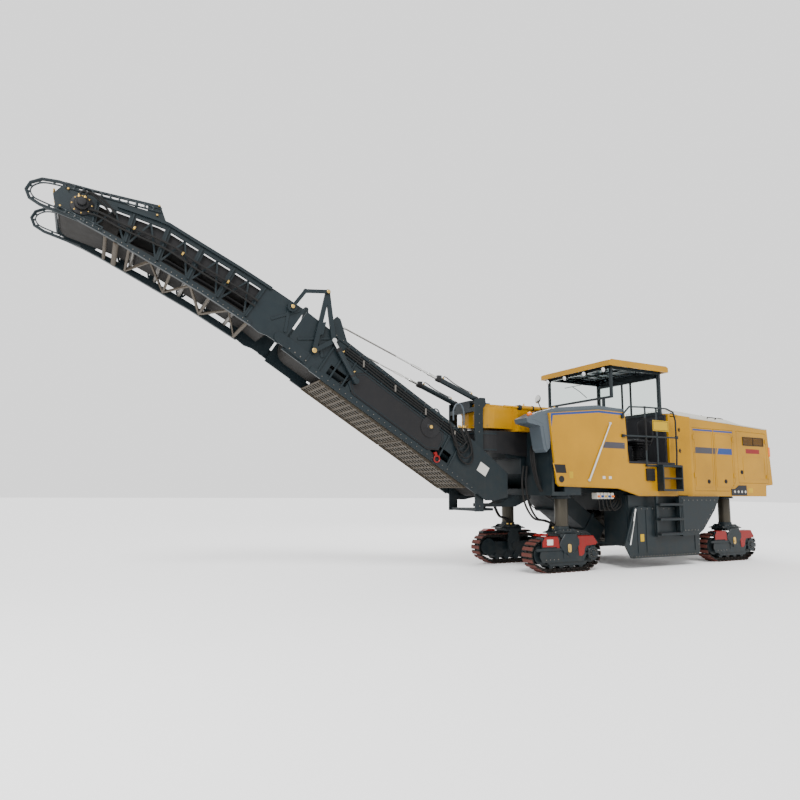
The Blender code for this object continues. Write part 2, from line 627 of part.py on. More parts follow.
def doors():
    front, rear, panel = door_outlines(TURNING)
    door("door_front_left", front, 1, DOOR_FRONT_X, -1)
    door("door_rear_left", rear, 1, DOOR_REAR_X, 1)
    door("door_intake_left", panel, 1, PANEL_REAR_X, 1)
    g = TURNING
    wide = [(DOOR_SPLIT_X - g, PANEL_BOTTOM + g), (DOOR_SPLIT_X - g, DOOR_TOP - 0.02 - g),
            (PANEL_REAR_X + g, DOOR_TOP - 0.02 - g), (PANEL_REAR_X + g, PANEL_BOTTOM + g)]
    door("door_cooler_right", wide, -1, PANEL_REAR_X, 1)


# --------------------------------------------------------- operator's stand
def platform():
    back = HOUSE_FRONT + SEAT
    pieces = [box(back, STAND_FRONT, -1.175, 1.175, FLOOR_TOP - 0.05, FLOOR_TOP)]
    pieces.append(box(-0.70, 0.60, -0.95, 0.95, FRAME_TOP + SEAT, FLOOR_TOP - 0.02))
    pieces.append(box(STAND_FRONT - 0.03, STAND_FRONT + 0.02, -1.15, 1.15, FLOOR_TOP - 0.03, 2.98))
    pieces.append(box(back, back + 0.05, -1.0, 1.0, FLOOR_TOP - 0.03, 3.10))
    return node("platform", "charcoal", pieces)


def console():
    shape = [(0.20, FLOOR_TOP + SEAT), (0.58, FLOOR_TOP + SEAT), (0.58, 3.08), (0.44, 3.08),
             (0.24, 2.92), (0.30, 2.80)]
    pieces = [plate(shape, -0.85, 0.85)]
    pieces.append(tube([(0.30, 0.45, 2.90), (0.16, 0.45, 3.02)], 0.02))
    pieces.append(rod((0.17, 0.45, 3.00), (0.15, 0.45, 3.03), 0.15, 16))
    return node("console", "charcoal", pieces)


def seats():
    pieces = []
    for side in (1, -1):
        y = side * 0.66
        pieces.append(box(-0.50, -0.04, y - 0.22, y + 0.22, 2.46, 2.57))
        back = [(-0.56, 2.48), (-0.44, 2.48), (-0.50, 3.02), (-0.60, 3.02)]
        pieces.append(plate(back, y - 0.21, y + 0.21))
        pieces.append(rod((-0.27, y, FLOOR_TOP + SEAT + 0.02), (-0.27, y, 2.50), 0.06, 12))
    pieces.append(box(-0.40, -0.14, -0.84, 0.84, FLOOR_TOP + SEAT, FLOOR_TOP + 0.05))
    return node("seats", "black", pieces)


def canopy_roof():
    half = ROOF_HALF_LENGTH
    pan = [(-half, ROOF_BOTTOM), (half, ROOF_BOTTOM), (half, ROOF_TOP - 0.03), (half - 0.06, ROOF_TOP),
           (-half + 0.06, ROOF_TOP), (-half, ROOF_TOP - 0.03)]
    pieces = [plate(pan, -ROOF_HALF_WIDTH, ROOF_HALF_WIDTH)]
    under = box(-half + 0.03, half - 0.03, -ROOF_HALF_WIDTH + 0.03,
                ROOF_HALF_WIDTH - 0.03, ROOF_BOTTOM - 0.1, ROOF_TOP - 0.05)
    return node("canopy_roof", "yellow", pieces, [under])


def canopy_frame():
    top = ROOF_TOP - 0.05 - SEAT
    x = SCREEN_X
    rear = HOUSE_FRONT + 0.05
    pieces = [box(x - 0.02, x + 0.03, -0.97, 0.97, ROOF_BOTTOM - 0.04, top)]
    pieces.append(box(x - 0.02, x + 0.03, -0.97, 0.97, SCREEN_BOTTOM, SCREEN_BOTTOM + 0.04))
    pieces.append(box(rear - 0.045, rear + 0.02, -0.91, 0.91, 3.90, top))
    pieces.append(box(rear - 0.045, rear + 0.02, -0.91, 0.91, 3.10 + SEAT, 3.17))
    for side in (1, -1):
        pieces.append(box(x - 0.02, x + 0.03, *across(0.92, 0.97, side), SCREEN_BOTTOM + 0.02, ROOF_BOTTOM))
        pieces.append(box(rear - 0.045, rear + 0.02, *across(0.85, 0.91, side), 3.12, 3.95))
        pieces.append(box(rear + 0.005, rear + 0.02, *across(0.10, 0.15, side), 3.12, 3.95))
        pieces.append(box(rear - 0.03, x, *across(0.86, 0.91, side), 3.97, top))
        pieces.append(rod((x, side * 0.72, 3.11 + SEAT), (x, side * 0.72, SCREEN_BOTTOM + 0.02), 0.035, 12))
    return node("canopy_frame", "slate", pieces)


def windscreen():
    g = SEAT
    return node("windscreen", "glass", [box(SCREEN_X, SCREEN_X + 0.008, -0.92 + g, 0.92 - g,
                                            SCREEN_BOTTOM + 0.04 + g, ROOF_BOTTOM - 0.04 - g)])


def rear_window():
    x = HOUSE_FRONT + 0.05 - 0.03
    g = SEAT
    return node("rear_window", "glass", [box(x, x + 0.008, -0.85 + g, 0.85 - g, 3.17 + g, 3.90 - g)])


def access(name, side):
    """Guard rails and the step box at one side of the operator's stand."""
    r = 0.018
    y = BODY_HALF_WIDTH + 0.03
    def at(points):
        return [(a, side * b, c) for a, b, c in points]
    pieces = [tube(at([(0.74, y, 2.92), (0.72, y, 3.0), (0.55, y, 3.15), (0.10, y, 3.17),
                       (-0.50, y, 3.18), (-0.70, y, 3.12), (-0.76, y, 2.95), (-0.76, y, 2.30),
                       (-0.74, y, 2.02)]), r)]
    pieces.append(tube(at([(0.74, y, 2.56), (0.70, y, 2.57), (-0.76, y, 2.59)]), r))
    foot0, foot1 = across(BODY_HALF_WIDTH + SEAT, y + 0.005, side)
    for x, z in ((0.73, 2.94), (0.73, 2.565), (-0.79, 2.60)):
        pieces.append(box(x - 0.03, x + 0.03, foot0, foot1, z - 0.03, z + 0.03))
    for x in (0.12, -0.20):
        pieces.append(tube(at([(x, y, 3.17), (x, y, 1.98)]), r))
    x0, x1 = -0.76, -0.18
    y0, y1 = across(BODY_HALF_WIDTH + SEAT, BODY_HALF_WIDTH + 0.16, side)
    pieces.append(box(x0, x1, y0, y1, 1.98, 2.02))
    pieces.append(box(x0, 0.14, y0, y0 + 0.05 if side > 0 else y1, 1.98, 2.02)
                  if side > 0 else box(x0, 0.14, y1 - 0.05, y1, 1.98, 2.02))
    pieces.append(box(x0, x1, y0, y1, 1.50, 1.54))
    pieces.append(box(x0, x1, y0, y1, 1.74, 1.77))
    for x in (x0, x1 - 0.03):
        pieces.append(box(x, x + 0.03, y0, y1, 1.50, 2.0))
    return node(name, "slate", pieces)


# ------------------------------------------------------- discharge conveyor
def boom(u, v):
    """A point of the side view, u along the inner section's bottom edge and v square to it."""
    c, s = math.cos(BOOM_PITCH), math.sin(BOOM_PITCH)
    return (BOOM_FOOT[0] + u * c - v * s, BOOM_FOOT[1] + u * s + v * c)


def pulley_loop(first, last, radius):
    """Outline round two equal circles."""
    ax, az = last[0] - first[0], last[1] - first[1]
    turn = math.atan2(az, ax)
    points = []
    for i in range(-4, 5):
        a = turn + math.pi + i * math.pi / 8
        points.append((first[0] + radius * math.cos(a), first[1] + radius * math.sin(a)))
    for i in range(-4, 5):
        a = turn + i * math.pi / 8
        points.append((last[0] + radius * math.cos(a), last[1] + radius * math.sin(a)))
    return points


def slew_mast():
    foot = LIFT_PIVOT
    beam = MAST_X + MAST_DEPTH
    pieces = []
    for side in (1, -1):
        y0, y1 = across(MAST_FACE - 0.03, MAST_FACE, side)
        post = [(MAST_X, 1.10), (beam, 1.10), (beam, MAST_TOP - 0.04), (MAST_X + 0.06, MAST_TOP),
                (MAST_X - 0.05, MAST_TOP), (MAST_X - 0.07, MAST_TOP - 0.12), (MAST_X, MAST_TOP - 0.2)]
        pieces.append(plate(post, y0, y1))
        pieces.append(rod((foot[0], side * (MAST_FACE - 0.01), foot[1]),
                          (foot[0], side * (BOOM_HALF_WIDTH - BOOM_WALL - SEAT), foot[1]), 0.07, 16))
    pieces.append(box(beam - 0.08, beam - 0.005, -MAST_FACE + 0.01, MAST_FACE - 0.01,
                      MAST_TOP - 0.26, MAST_TOP - 0.18))
    pieces.append(box(beam - 0.07, beam - 0.02, -0.26, 0.26, MAST_TOP - 0.22, MAST_TOP - 0.04))
    arm = [(SLEW_X - 0.10, -0.12), (SLEW_X + 0.1, -0.14), (beam - 0.03, -0.27), (beam - 0.03, 0.27),
           (SLEW_X + 0.1, 0.14), (SLEW_X - 0.10, 0.12)]
    pieces.append(plate(arm, MAST_TOP - 0.085, MAST_TOP - 0.035, "xy"))
    spread = (MAST_FACE - 0.022) / 0.27
    pieces.append(plate([(a, b * spread) for a, b in arm], 1.105, 1.155, "xy"))
    pieces.append(rod((SLEW_X, 0, NOSE_TOP - 0.15), (SLEW_X, 0, MAST_TOP - 0.05), PIN_RADIUS, 16))
    pieces.append(rod((SLEW_X, 0, 1.12), (SLEW_X, 0, 1.238), PIN_RADIUS, 16))
    pieces.append(rod((SLEW_X, 0, NOSE_TOP + SEAT), (SLEW_X, 0, MAST_TOP - 0.065), 0.10, 18))
    return node("slew_mast", "slate", pieces, pivot=(SLEW_X, 0, 3.0))


def inner_conveyor():
    wall0, wall1 = BOOM_HALF_WIDTH - BOOM_WALL, BOOM_HALF_WIDTH
    end = BOOM_SPLIT
    outline = [(3.00, 1.36), (3.00, 1.80), (3.73, 2.37), boom(1.00, BOOM_DEPTH), boom(end, BOOM_DEPTH),
               boom(end, 0.0), boom(0.10, 0.0), (3.30, 1.30)]
    windows = []
    for start, stop in ((1.15, 1.55), (1.65, 2.15), (2.25, 2.75), (2.85, 3.35), (3.45, 3.85)):
        windows.append([boom(start, 0.12), boom(stop, 0.12), boom(stop, 0.30), boom(start, 0.30)])
    pieces = []
    for side in (1, -1):
        pieces.append(plate(outline, *across(wall0, wall1, side), holes=windows))
        flange0, flange1 = across(wall0 + 0.005, wall1 + 0.02, side)
        for v0, v1, u0 in ((-0.02, 0.08, 0.35), (BOOM_DEPTH - 0.05, BOOM_DEPTH + 0.01, 1.05)):
            chord = [boom(u0, v0), boom(end - 0.55, v0), boom(end - 0.55, v1), boom(u0, v1)]
            pieces.append(plate(chord, flange0, flange1))
        pad = [boom(end - 0.45, 0.02), boom(end - 0.45, 0.24), boom(end - 0.05, 0.24),
               boom(end - 0.05, 0.02)]
        pieces.append(plate(pad, *across(wall1 - 0.005, wall1 + 0.012, side)))
        knuckle = [boom(end - 0.40, 0.03), boom(end - 0.40, 0.23)]
        turn = BOOM_PITCH
        knuckle += [(FOLD_PIVOT[0] + 0.085 * math.cos(turn + a), FOLD_PIVOT[1] + 0.085 * math.sin(turn + a))
                    for a in [math.radians(d) for d in range(90, -91, -30)]]
        pieces.append(plate(knuckle, *across(wall1 + 0.005, wall1 + 0.023, side)))
        stay = [boom(3.72, BOOM_DEPTH - 0.08), (STAY_EYE[0] - 0.06, STAY_EYE[1] + 0.03),
                (STAY_EYE[0], STAY_EYE[1] + 0.07), (STAY_EYE[0] + 0.07, STAY_EYE[1]),
                boom(4.12, BOOM_DEPTH - 0.08)]
        pieces.append(plate(stay, *across(STAY_Y + 0.045, wall1 - 0.002, side)))
        foot = FOLD_CYLINDER_FOOT
        base = [(foot[0] - 0.16, foot[1] - 0.10), (foot[0] + 0.06, foot[1] - 0.16),
                (foot[0] + 0.12, foot[1] - 0.02), (foot[0] + 0.03, foot[1] + 0.06),
                (foot[0] - 0.06, foot[1] + 0.05)]
        pieces.append(plate(base, *across(wall1 - 0.004, LINK_Y - 0.030, side)))
        pieces.append(rod((LEVER_PIVOT[0], side * (wall1 - 0.01), LEVER_PIVOT[1]),
                          (LEVER_PIVOT[0], side * (LINK_Y - 0.021 - SEAT), LEVER_PIVOT[1]), 0.06, 14))
    for u in (0.70, 2.2, 3.4, 4.02):
        x, z = boom(u, 0.36)
        pieces.append(rod((x, -wall0 - 0.01, z), (x, wall0 + 0.01, z), 0.035, 10))
    mesh = [boom(0.60, -0.018), boom(3.85, -0.018), boom(3.85, 0.002), boom(0.60, 0.002)]
    pieces.append(plate(mesh, -wall0 - 0.012, wall0 + 0.012))
    return node("inner_conveyor", "slate", pieces, pivot=(LIFT_PIVOT[0], 0, LIFT_PIVOT[1]))


def inner_belt():
    first, last = boom(0.10, 0.36), boom(BOOM_SPLIT - 0.28, 0.36)
    ring = plate(pulley_loop(first, last, 0.24), -BELT_HALF_WIDTH, BELT_HALF_WIDTH,
                 holes=(pulley_loop(first, last, 0.215),))
    drums = []
    reach = BOOM_HALF_WIDTH - BOOM_WALL - SEAT
    for x, z in (first, last):
        drums.append(rod((x, -BELT_HALF_WIDTH + 0.01, z), (x, BELT_HALF_WIDTH - 0.01, z), 0.22, 20))
        drums.append(rod((x, -reach, z), (x, reach, z), 0.04, 12))
    return node("inner_belt", "black", [ring, *drums])


LOWER_EDGE = [(7.88, 4.00), (8.65, 4.41), (9.37, 4.75), (10.04, 5.06), (10.50, 5.25)]
UPPER_EDGE = [(7.50, 4.62), (8.07, 4.90), (8.69, 5.18), (9.19, 5.41), (10.50, 5.62)]


def along_edge(edge, share):
    """A point at this share of the edge's run in X."""
    x = edge[0][0] + share * (edge[-1][0] - edge[0][0])
    for (x0, z0), (x1, z1) in zip(edge, edge[1:]):
        if x <= x1 + 1e-9:
            return (x, z0 + (z1 - z0) * (x - x0) / (x1 - x0))
    return edge[-1]


def between(share, height):
    a, b = along_edge(LOWER_EDGE, share), along_edge(UPPER_EDGE, share)
    return (a[0] + (b[0] - a[0]) * height, a[1] + (b[1] - a[1]) * height)


def outer_conveyor():
    wall0, wall1 = BOOM_HALF_WIDTH - BOOM_WALL, BOOM_HALF_WIDTH
    root = BOOM_SPLIT + 0.04
    px, pz = FOLD_PIVOT
    knuckle = [(px + 0.10 * math.cos(BOOM_PITCH + a), pz + 0.10 * math.sin(BOOM_PITCH + a))
               for a in [math.radians(d) for d in range(180, 331, 30)]]
    outline = [boom(root, BOOM_DEPTH), *UPPER_EDGE[:4], (9.28, 5.64), (10.52, 5.69), (10.66, 5.50),
               (10.62, 5.32), *reversed(LOWER_EDGE), boom(5.09, 0.0), boom(4.96, 0.04)]
    outline += [knuckle[i] for i in (4, 3, 2, 1, 0)] + [boom(root, 0.22)]
    windows = []
    for k in range(5):
        s0, s1 = 0.06 + k * 0.165, 0.06 + (k + 1) * 0.165 - 0.03
        windows.append([between(s0, 0.14), between(s1, 0.14), between(s1, 0.84), between(s0, 0.84)])
    windows.append([(9.45, 5.52), (10.35, 5.63), (10.35, 5.65), (9.45, 5.61)])
    pieces = []
    for side in (1, -1):
        pieces.append(plate(outline, *across(wall0, wall1, side), holes=windows))
        bar_y = side * (wall1 - 0.014)
        bar = [(10.40, bar_y, 5.665), (10.60, bar_y, 5.69), (10.80, bar_y, 5.68), (10.93, bar_y, 5.60),
               (10.976, bar_y, 5.49), (10.93, bar_y, 5.38), (10.80, bar_y, 5.31), (10.30, bar_y, 5.18)]
        pieces.append(tube(bar, 0.024))
        flange0, flange1 = across(wall0 + 0.005, wall1 + 0.035, side)
        lower = [(a, b - 0.012) for a, b in LOWER_EDGE] + [(a, b + 0.05) for a, b in reversed(LOWER_EDGE)]
        pieces.append(plate(lower, flange0, flange1))
        pieces.append(rod((px, side * (wall1 - 0.01), pz), (px, side * (wall1 + 0.005 - SEAT), pz), 0.05, 12))
        pieces.append(plate(disc(ROOT_EYE, 0.08, 12), *across(wall1 - 0.01, LINK_Y + 0.025 - SEAT, side)))
    for share in (0.21, 0.375, 0.54):
        x, z = between(share, 0.50)
        pieces.append(rod((x, -wall0 - 0.01, z), (x, wall0 + 0.01, z), 0.035, 10))
    return node("outer_conveyor", "slate", pieces, pivot=(px, 0, pz))


def outer_belt():
    """Belt round the head pulley, following the section's bend."""
    low = [between(s, 0.20) for s in (-0.0, 0.25, 0.5, 0.75)]
    high = [between(s, 0.78) for s in (0.75, 0.5, 0.25, 0.0)]
    head = (10.42, 5.42)
    nose = [(head[0] + 0.19 * math.cos(a), head[1] + 0.19 * math.sin(a))
            for a in [math.radians(d) for d in range(-65, 116, 20)]]
    tail_low, tail_high = boom(4.98, 0.14), boom(4.80, 0.60)
    outer = [tail_low, *low, *nose, *high, tail_high]
    ring = plate(outer, -BELT_HALF_WIDTH, BELT_HALF_WIDTH)
    inner = []
    for s in (0.04, 0.25, 0.5, 0.75):
        x, z = between(s, 0.20)
        inner.append((x, z + 0.028))
    for s in (0.75, 0.5, 0.25, 0.04):
        x, z = between(s, 0.78)
        inner.append((x, z - 0.028))
    hollow = plate(inner, -BELT_HALF_WIDTH - 0.1, BELT_HALF_WIDTH + 0.1)
    reach = BOOM_HALF_WIDTH - BOOM_WALL - SEAT
    shaft = rod((head[0], -reach, head[1]), (head[0], reach, head[1]), 0.04, 12)
    return node("outer_belt", "black", [ring, shaft], [hollow], pivot=(FOLD_PIVOT[0], 0, FOLD_PIVOT[1]))


def bar_plate(points, width, low, high, side):
    """A flat bar along these side-view points, with round ends."""
    pieces = []
    for a, b in zip(points, points[1:]):
        dx, dz = b[0] - a[0], b[1] - a[1]
        size = math.hypot(dx, dz)
        nx, nz = -dz / size * width / 2, dx / size * width / 2
        strip = [(a[0] + nx, a[1] + nz), (b[0] + nx, b[1] + nz),
                 (b[0] - nx, b[1] - nz), (a[0] - nx, a[1] - nz)]
        pieces.append(plate(strip, *across(low, high, side)))
    for p in points:
        pieces.append(plate(disc(p, width * 0.62, 14), *across(low - 0.001, high + 0.001, side)))
    return pieces


def fold_lever(side, name):
    low, high = LINK_Y - 0.02, LINK_Y + 0.02
    pieces = bar_plate([LEVER_PIVOT, LEVER_HEAD, LEVER_ARM, LEVER_PIVOT], 0.075, low, high, side)
    return node(name, "slate", pieces, pivot=(LEVER_PIVOT[0], 0, LEVER_PIVOT[1]))


def fold_link(side, name):
    low, high = LINK_Y + 0.026, LINK_Y + 0.051
    knee = (7.04, 4.66)
    pieces = bar_plate([LEVER_HEAD, knee, ROOT_EYE], 0.06, low, high, side)
    pieces.append(rod((LEVER_HEAD[0], side * (low + 0.01), LEVER_HEAD[1]),
                      (LEVER_HEAD[0], side * (LINK_Y + 0.021 + SEAT), LEVER_HEAD[1]), 0.03, 12))
    return node(name, "slate", pieces, pivot=(LEVER_HEAD[0], 0, LEVER_HEAD[1]))


def fold_barrel(side, name):
    foot, eye = Vector(FOLD_CYLINDER_FOOT), Vector(LEVER_ARM)
    along = (eye - foot).normalized()
    y = side * (LINK_Y + 0.02)
    top = foot + along * ((eye - foot).length - 0.14)
    pieces = [rod((foot.x, y, foot.y), (top.x, y, top.y), 0.045, 16)]
    y0, y1 = sorted((side * (LINK_Y - 0.030 + SEAT), side * (LINK_Y + 0.06)))
    pieces.append(plate(disc(foot, 0.05, 16), y0, y1))
    inside = foot + along * 0.08
    bore = rod((inside.x, y, inside.y), (top.x + along.x * 0.1, y, top.y + along.y * 0.1), 0.026, 16)
    return node(name, "slate", pieces, [bore], pivot=(foot.x, 0, foot.y))


def fold_rod(side, name):
    foot, eye = Vector(FOLD_CYLINDER_FOOT), Vector(LEVER_ARM)
    along = (eye - foot).normalized()
    y = side * (LINK_Y + 0.02)
    start = foot + along * 0.10
    pieces = [rod((start.x, y, start.y), (eye.x, y, eye.y), 0.026 - SEAT, 16)]
    y0, y1 = sorted((side * (LINK_Y + 0.021 + SEAT), side * (LINK_Y + 0.055)))
    pieces.append(plate(disc(eye, 0.04, 14), y0, y1))
    cut0, cut1 = sorted((side * (LINK_Y - 0.1), side * (LINK_Y + 0.021 + SEAT)))
    near = eye - along * 0.105
    cuts = [box(near.x - 0.01, eye.x + 0.2, cut0, cut1, near.y - 0.01, eye.y + 0.2)]
    return node(name, "steel", pieces, cuts, pivot=(foot.x, 0, foot.y))


def lift_barrel(side, name):
    foot, eye = Vector(LIFT_EYE), Vector(STAY_EYE)
    along = (eye - foot).normalized()
    y = side * STAY_Y
    top = foot + along * 1.02
    start = foot + along * 0.05
    pieces = [rod((start.x, y, start.y), (top.x, y, top.y), 0.050, 16)]
    pieces.append(plate(disc(foot, 0.055, 16), *across(STAY_Y - 0.05, MAST_FACE - 0.03 - SEAT, side)))
    pieces.append(box(top.x - 0.10, top.x - 0.02, y - 0.03, y + 0.03, top.y - 0.05, top.y + 0.05))
    inside = foot + along * 0.14
    past = top + along * 0.1
    bore = rod((inside.x, y, inside.y), (past.x, y, past.y), 0.030, 16)
    return node(name, "slate", pieces, [bore], pivot=(foot.x, 0, foot.y))


def lift_stay(side, name):
    foot, eye = Vector(LIFT_EYE), Vector(STAY_EYE)
    along = (eye - foot).normalized()
    y = side * STAY_Y
    a, b = foot + along * 0.46, foot + along * 1.14
    pieces = [rod((a.x, y, a.y), (b.x, y, b.y), 0.030 - SEAT, 16)]
    c = b + along * 0.16
    d = b - along * 0.03
    pieces.append(rod((d.x, y, d.y), (c.x, y, c.y), 0.020, 12))
    e = b + along * 0.12
    end = eye - along * 0.03
    pieces.append(rod((e.x, y, e.y), (end.x, y, end.y), 0.012, 8))
    f = eye - along * 0.22
    pieces.append(rod((f.x, y, f.y), (end.x, y, end.y), 0.020, 12))
    pieces.append(plate(disc(eye, 0.045, 14), *across(STAY_Y - 0.02, STAY_Y + 0.045 - SEAT, side)))
    return node(name, "steel", pieces, pivot=(foot.x, 0, foot.y))


def build():
    main_frame()
    slew_frame()
    hopper_shell()
    primary_conveyor()
    drum_housing()
    milling_drum()
    for side, word in ((1, "left"), (-1, "right")):
        side_plate(f"side_plate_{word}", side)
        side_panel(f"side_panel_{word}", side)
        access(f"access_{word}", side)
        for axle, end in ((AXLE_FRONT, "front"), (AXLE_REAR, "rear")):
            track(f"track_{end}_{word}", axle, side)
            undercarriage(f"undercarriage_{end}_{word}", axle, side)
        fold_lever(side, f"fold_lever_{word}")
        fold_link(side, f"fold_link_{word}")
        fold_barrel(side, f"fold_barrel_{word}")
        fold_rod(side, f"fold_rod_{word}")
        lift_barrel(side, f"lift_barrel_{word}")
        lift_stay(side, f"lift_stay_{word}")
    front_hood()
    engine_house()
    engine_block()
    engine_hood()
    doors()
    platform()
    console()
    seats()
    canopy_roof()
    canopy_frame()
    windscreen()
    rear_window()
    slew_mast()
    inner_conveyor()
    inner_belt()
    outer_conveyor()
    outer_belt()


clear_scene()
PARTS = new_collection("cold_planer", False)
ANCHOR = bpy.data.objects.new("cold_planer_anchor", None)
PARTS.objects.link(ANCHOR)
ANCHOR.location = (ORIGIN_SHIFT, 0.0, 0.0)
JOINS = []
build()
join_all()
bpy.context.view_layer.update()
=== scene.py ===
"""Finish and detail for a tracked cold planer with a folding discharge conveyor.

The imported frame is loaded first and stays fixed. Each operator adds one group of pieces, worked out
in machine stations: metres, with X = 0 between the axles, +Y to the machine's left and +Z up.
"""
import math

import bmesh
import bpy
import numpy as np
from bpy.props import FloatProperty, FloatVectorProperty, IntProperty, PointerProperty
from mathutils import Matrix, Vector


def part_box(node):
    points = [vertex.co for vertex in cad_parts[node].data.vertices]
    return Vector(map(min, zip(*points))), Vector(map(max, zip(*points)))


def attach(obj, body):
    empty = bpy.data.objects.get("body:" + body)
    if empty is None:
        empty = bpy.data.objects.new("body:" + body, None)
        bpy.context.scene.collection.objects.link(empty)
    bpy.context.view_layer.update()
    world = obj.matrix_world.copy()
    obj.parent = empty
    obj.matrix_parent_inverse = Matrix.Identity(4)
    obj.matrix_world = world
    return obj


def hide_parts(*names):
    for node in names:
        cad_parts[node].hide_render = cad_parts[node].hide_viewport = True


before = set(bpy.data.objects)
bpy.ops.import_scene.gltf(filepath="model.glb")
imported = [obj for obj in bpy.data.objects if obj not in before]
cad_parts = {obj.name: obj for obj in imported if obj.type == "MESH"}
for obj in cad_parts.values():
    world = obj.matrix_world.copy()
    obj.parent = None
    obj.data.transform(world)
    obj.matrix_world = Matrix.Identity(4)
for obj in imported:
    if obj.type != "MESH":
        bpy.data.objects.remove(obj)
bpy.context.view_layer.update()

bl_info = {
    "name": "Cold planer finish",
    "version": (1, 0, 0),
    "blender": (4, 5, 0),
    "location": "3D View > Sidebar > Planer",
    "description": "Paint, running gear, hoses and trim for a tracked cold planer",
    "category": "Object",
}

DRUM_STATION = -0.35
_drum_low, _drum_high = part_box("milling_drum")
ORIGIN_X = (_drum_low[0] + _drum_high[0]) / 2 - DRUM_STATION
HALF_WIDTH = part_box("engine_house")[1][1]
CONVEYOR_HALF = 0.53
SIDES = (1, -1)
SIDE_NAMES = {1: "left", -1: "right"}
AXLES = {"front": 2.00, "rear": -2.70}
TRACK_Y = 0.84
TRACK_HALF = 0.15
SHOE_RISE = 0.024
BOOM_FOOT = np.array((3.40, 1.25))
BOOM_PITCH = math.radians(31.4)
BOOM_DEPTH = 0.78
BOOM_END = 4.66
SKIN_GAP = 0.045


# --------------------------------------------------------------- surfaces
def across(low, high, side):
    """Distances from the centre plane as ordered Y values on this side."""
    return (low, high) if side > 0 else (-high, -low)


def boom(u, v):
    """A side-view point, u along the conveyor's lower edge and v square to it."""
    c, s = math.cos(BOOM_PITCH), math.sin(BOOM_PITCH)
    return (BOOM_FOOT[0] + u * c - v * s, BOOM_FOOT[1] + u * s + v * c)


def unit(vectors):
    """Each vector divided by its own length."""
    return vectors / np.linalg.norm(vectors, axis=-1, keepdims=True)


def loft(rings, wrap=True, cap=True, loop=False):
    """Skin over rings: point j of ring i is joined to point j of ring i + 1 and point j + 1 of ring i."""
    rings = np.asarray(rings, float)
    index = np.arange(rings.shape[0] * rings.shape[1]).reshape(rings.shape[:2])
    near, far = (index, np.roll(index, -1, 0)) if loop else (index[:-1], index[1:])
    if wrap:
        corners = [near, np.roll(near, -1, 1), np.roll(far, -1, 1), far]
    else:
        corners = [near[:, :-1], near[:, 1:], far[:, 1:], far[:, :-1]]
    quads = np.stack(corners, -1).reshape(-1, 4)
    caps = [] if loop or not cap else [index[0, ::-1].tolist(), index[-1].tolist()]
    return rings.reshape(-1, 3), quads, caps


def joined(*shapes):
    """Shapes as one: points end to end, with each shape's face numbers moved up by the points before it."""
    points, quads, caps, start = [], [], [], 0
    for shape_points, shape_quads, shape_caps in shapes:
        points.append(shape_points)
        quads.append(shape_quads + start)
        caps += [[i + start for i in face] for face in shape_caps]
        start += len(shape_points)
    return np.concatenate(points), np.concatenate(quads), caps


def copies(shape, places, turns=None):
    """The shape at each place: turn times point plus place, as one array of copies by points."""
    points, quads, caps = shape
    places = np.asarray(places, float)
    count = len(places)
    turns = np.broadcast_to(np.eye(3), (count, 3, 3)) if turns is None else np.asarray(turns)
    moved = np.einsum("kij,nj->kni", turns, points) + places[:, None, :]
    shifts = np.arange(count) * len(points)
    all_quads = (quads[None] + shifts[:, None, None]).reshape(-1, 4)
    all_caps = [[i + int(s) for i in face] for s in shifts for face in caps]
    return moved.reshape(-1, 3), all_quads, all_caps


def inset(outline, amount):
    """Each corner moves along its bisector until both its edges have moved in by the amount."""
    corners = np.asarray(outline, float)
    ahead = unit(np.roll(corners, -1, 0) - corners)
    back = np.roll(ahead, 1, 0)
    x, y = corners.T
    turn = np.sign(np.sum(x * np.roll(y, -1) - y * np.roll(x, -1)))
    inward_a = np.stack([-ahead[:, 1], ahead[:, 0]], 1) * turn
    inward_b = np.stack([-back[:, 1], back[:, 0]], 1) * turn
    share = 1 + np.sum(inward_a * inward_b, 1, keepdims=True)
    return corners + amount * (inward_a + inward_b) / np.maximum(share, 0.3)


AXES = {"xz": (0, 2, 1), "xy": (0, 1, 2), "yz": (1, 2, 0)}


def slab(outline, low, high, plane="xz", edge=0.004):
    """A plate: the outline carried from low to high, drawn in by the edge at both faces."""
    low, high = min(low, high), max(low, high)
    edge = min(edge, (high - low) / 3)
    full, small = np.asarray(outline, float), inset(outline, edge)
    a, b, c = AXES[plane]
    rings = np.zeros((4, len(full), 3))
    flat = np.stack([small, full, full, small])
    rings[:, :, a], rings[:, :, b] = flat[..., 0], flat[..., 1]
    rings[:, :, c] = np.array([low, low + edge, high - edge, high])[:, None]
    return loft(rings)


def plate(outline, low, high, side, edge=0.004):
    """An upright slab on this side, between two distances from the centre plane."""
    return slab(outline, *across(low, high, side), "xz", edge)


def block(x0, x1, y0, y1, z0, z1, edge=0.006):
    """A rounded-edge block, as a slab over its plan."""
    x0, x1, y0, y1 = min(x0, x1), max(x0, x1), min(y0, y1), max(y0, y1)
    return slab([(x0, y0), (x1, y0), (x1, y1), (x0, y1)], z0, z1, "xy", edge)


def disc(centre, radius, sides=24, start=0.0):
    """A circle: centre plus radius times the cosine and sine of equal steps of angle."""
    angle = start + angles(sides)
    return np.stack([centre[0] + radius * np.cos(angle), centre[1] + radius * np.sin(angle)], 1)


def rounded(x0, x1, z0, z1, radius, steps=4):
    """A rectangle whose corners are quarter circles."""
    quarter = np.linspace(0, np.pi / 2, steps)
    parts = []
    for k, (cx, cz) in enumerate(((x1 - radius, z1 - radius), (x0 + radius, z1 - radius),
            (x0 + radius, z0 + radius), (x1 - radius, z0 + radius))):
        angle = quarter + k * np.pi / 2
        parts.append(np.stack([cx + radius * np.cos(angle), cz + radius * np.sin(angle)], 1))
    return np.concatenate(parts)


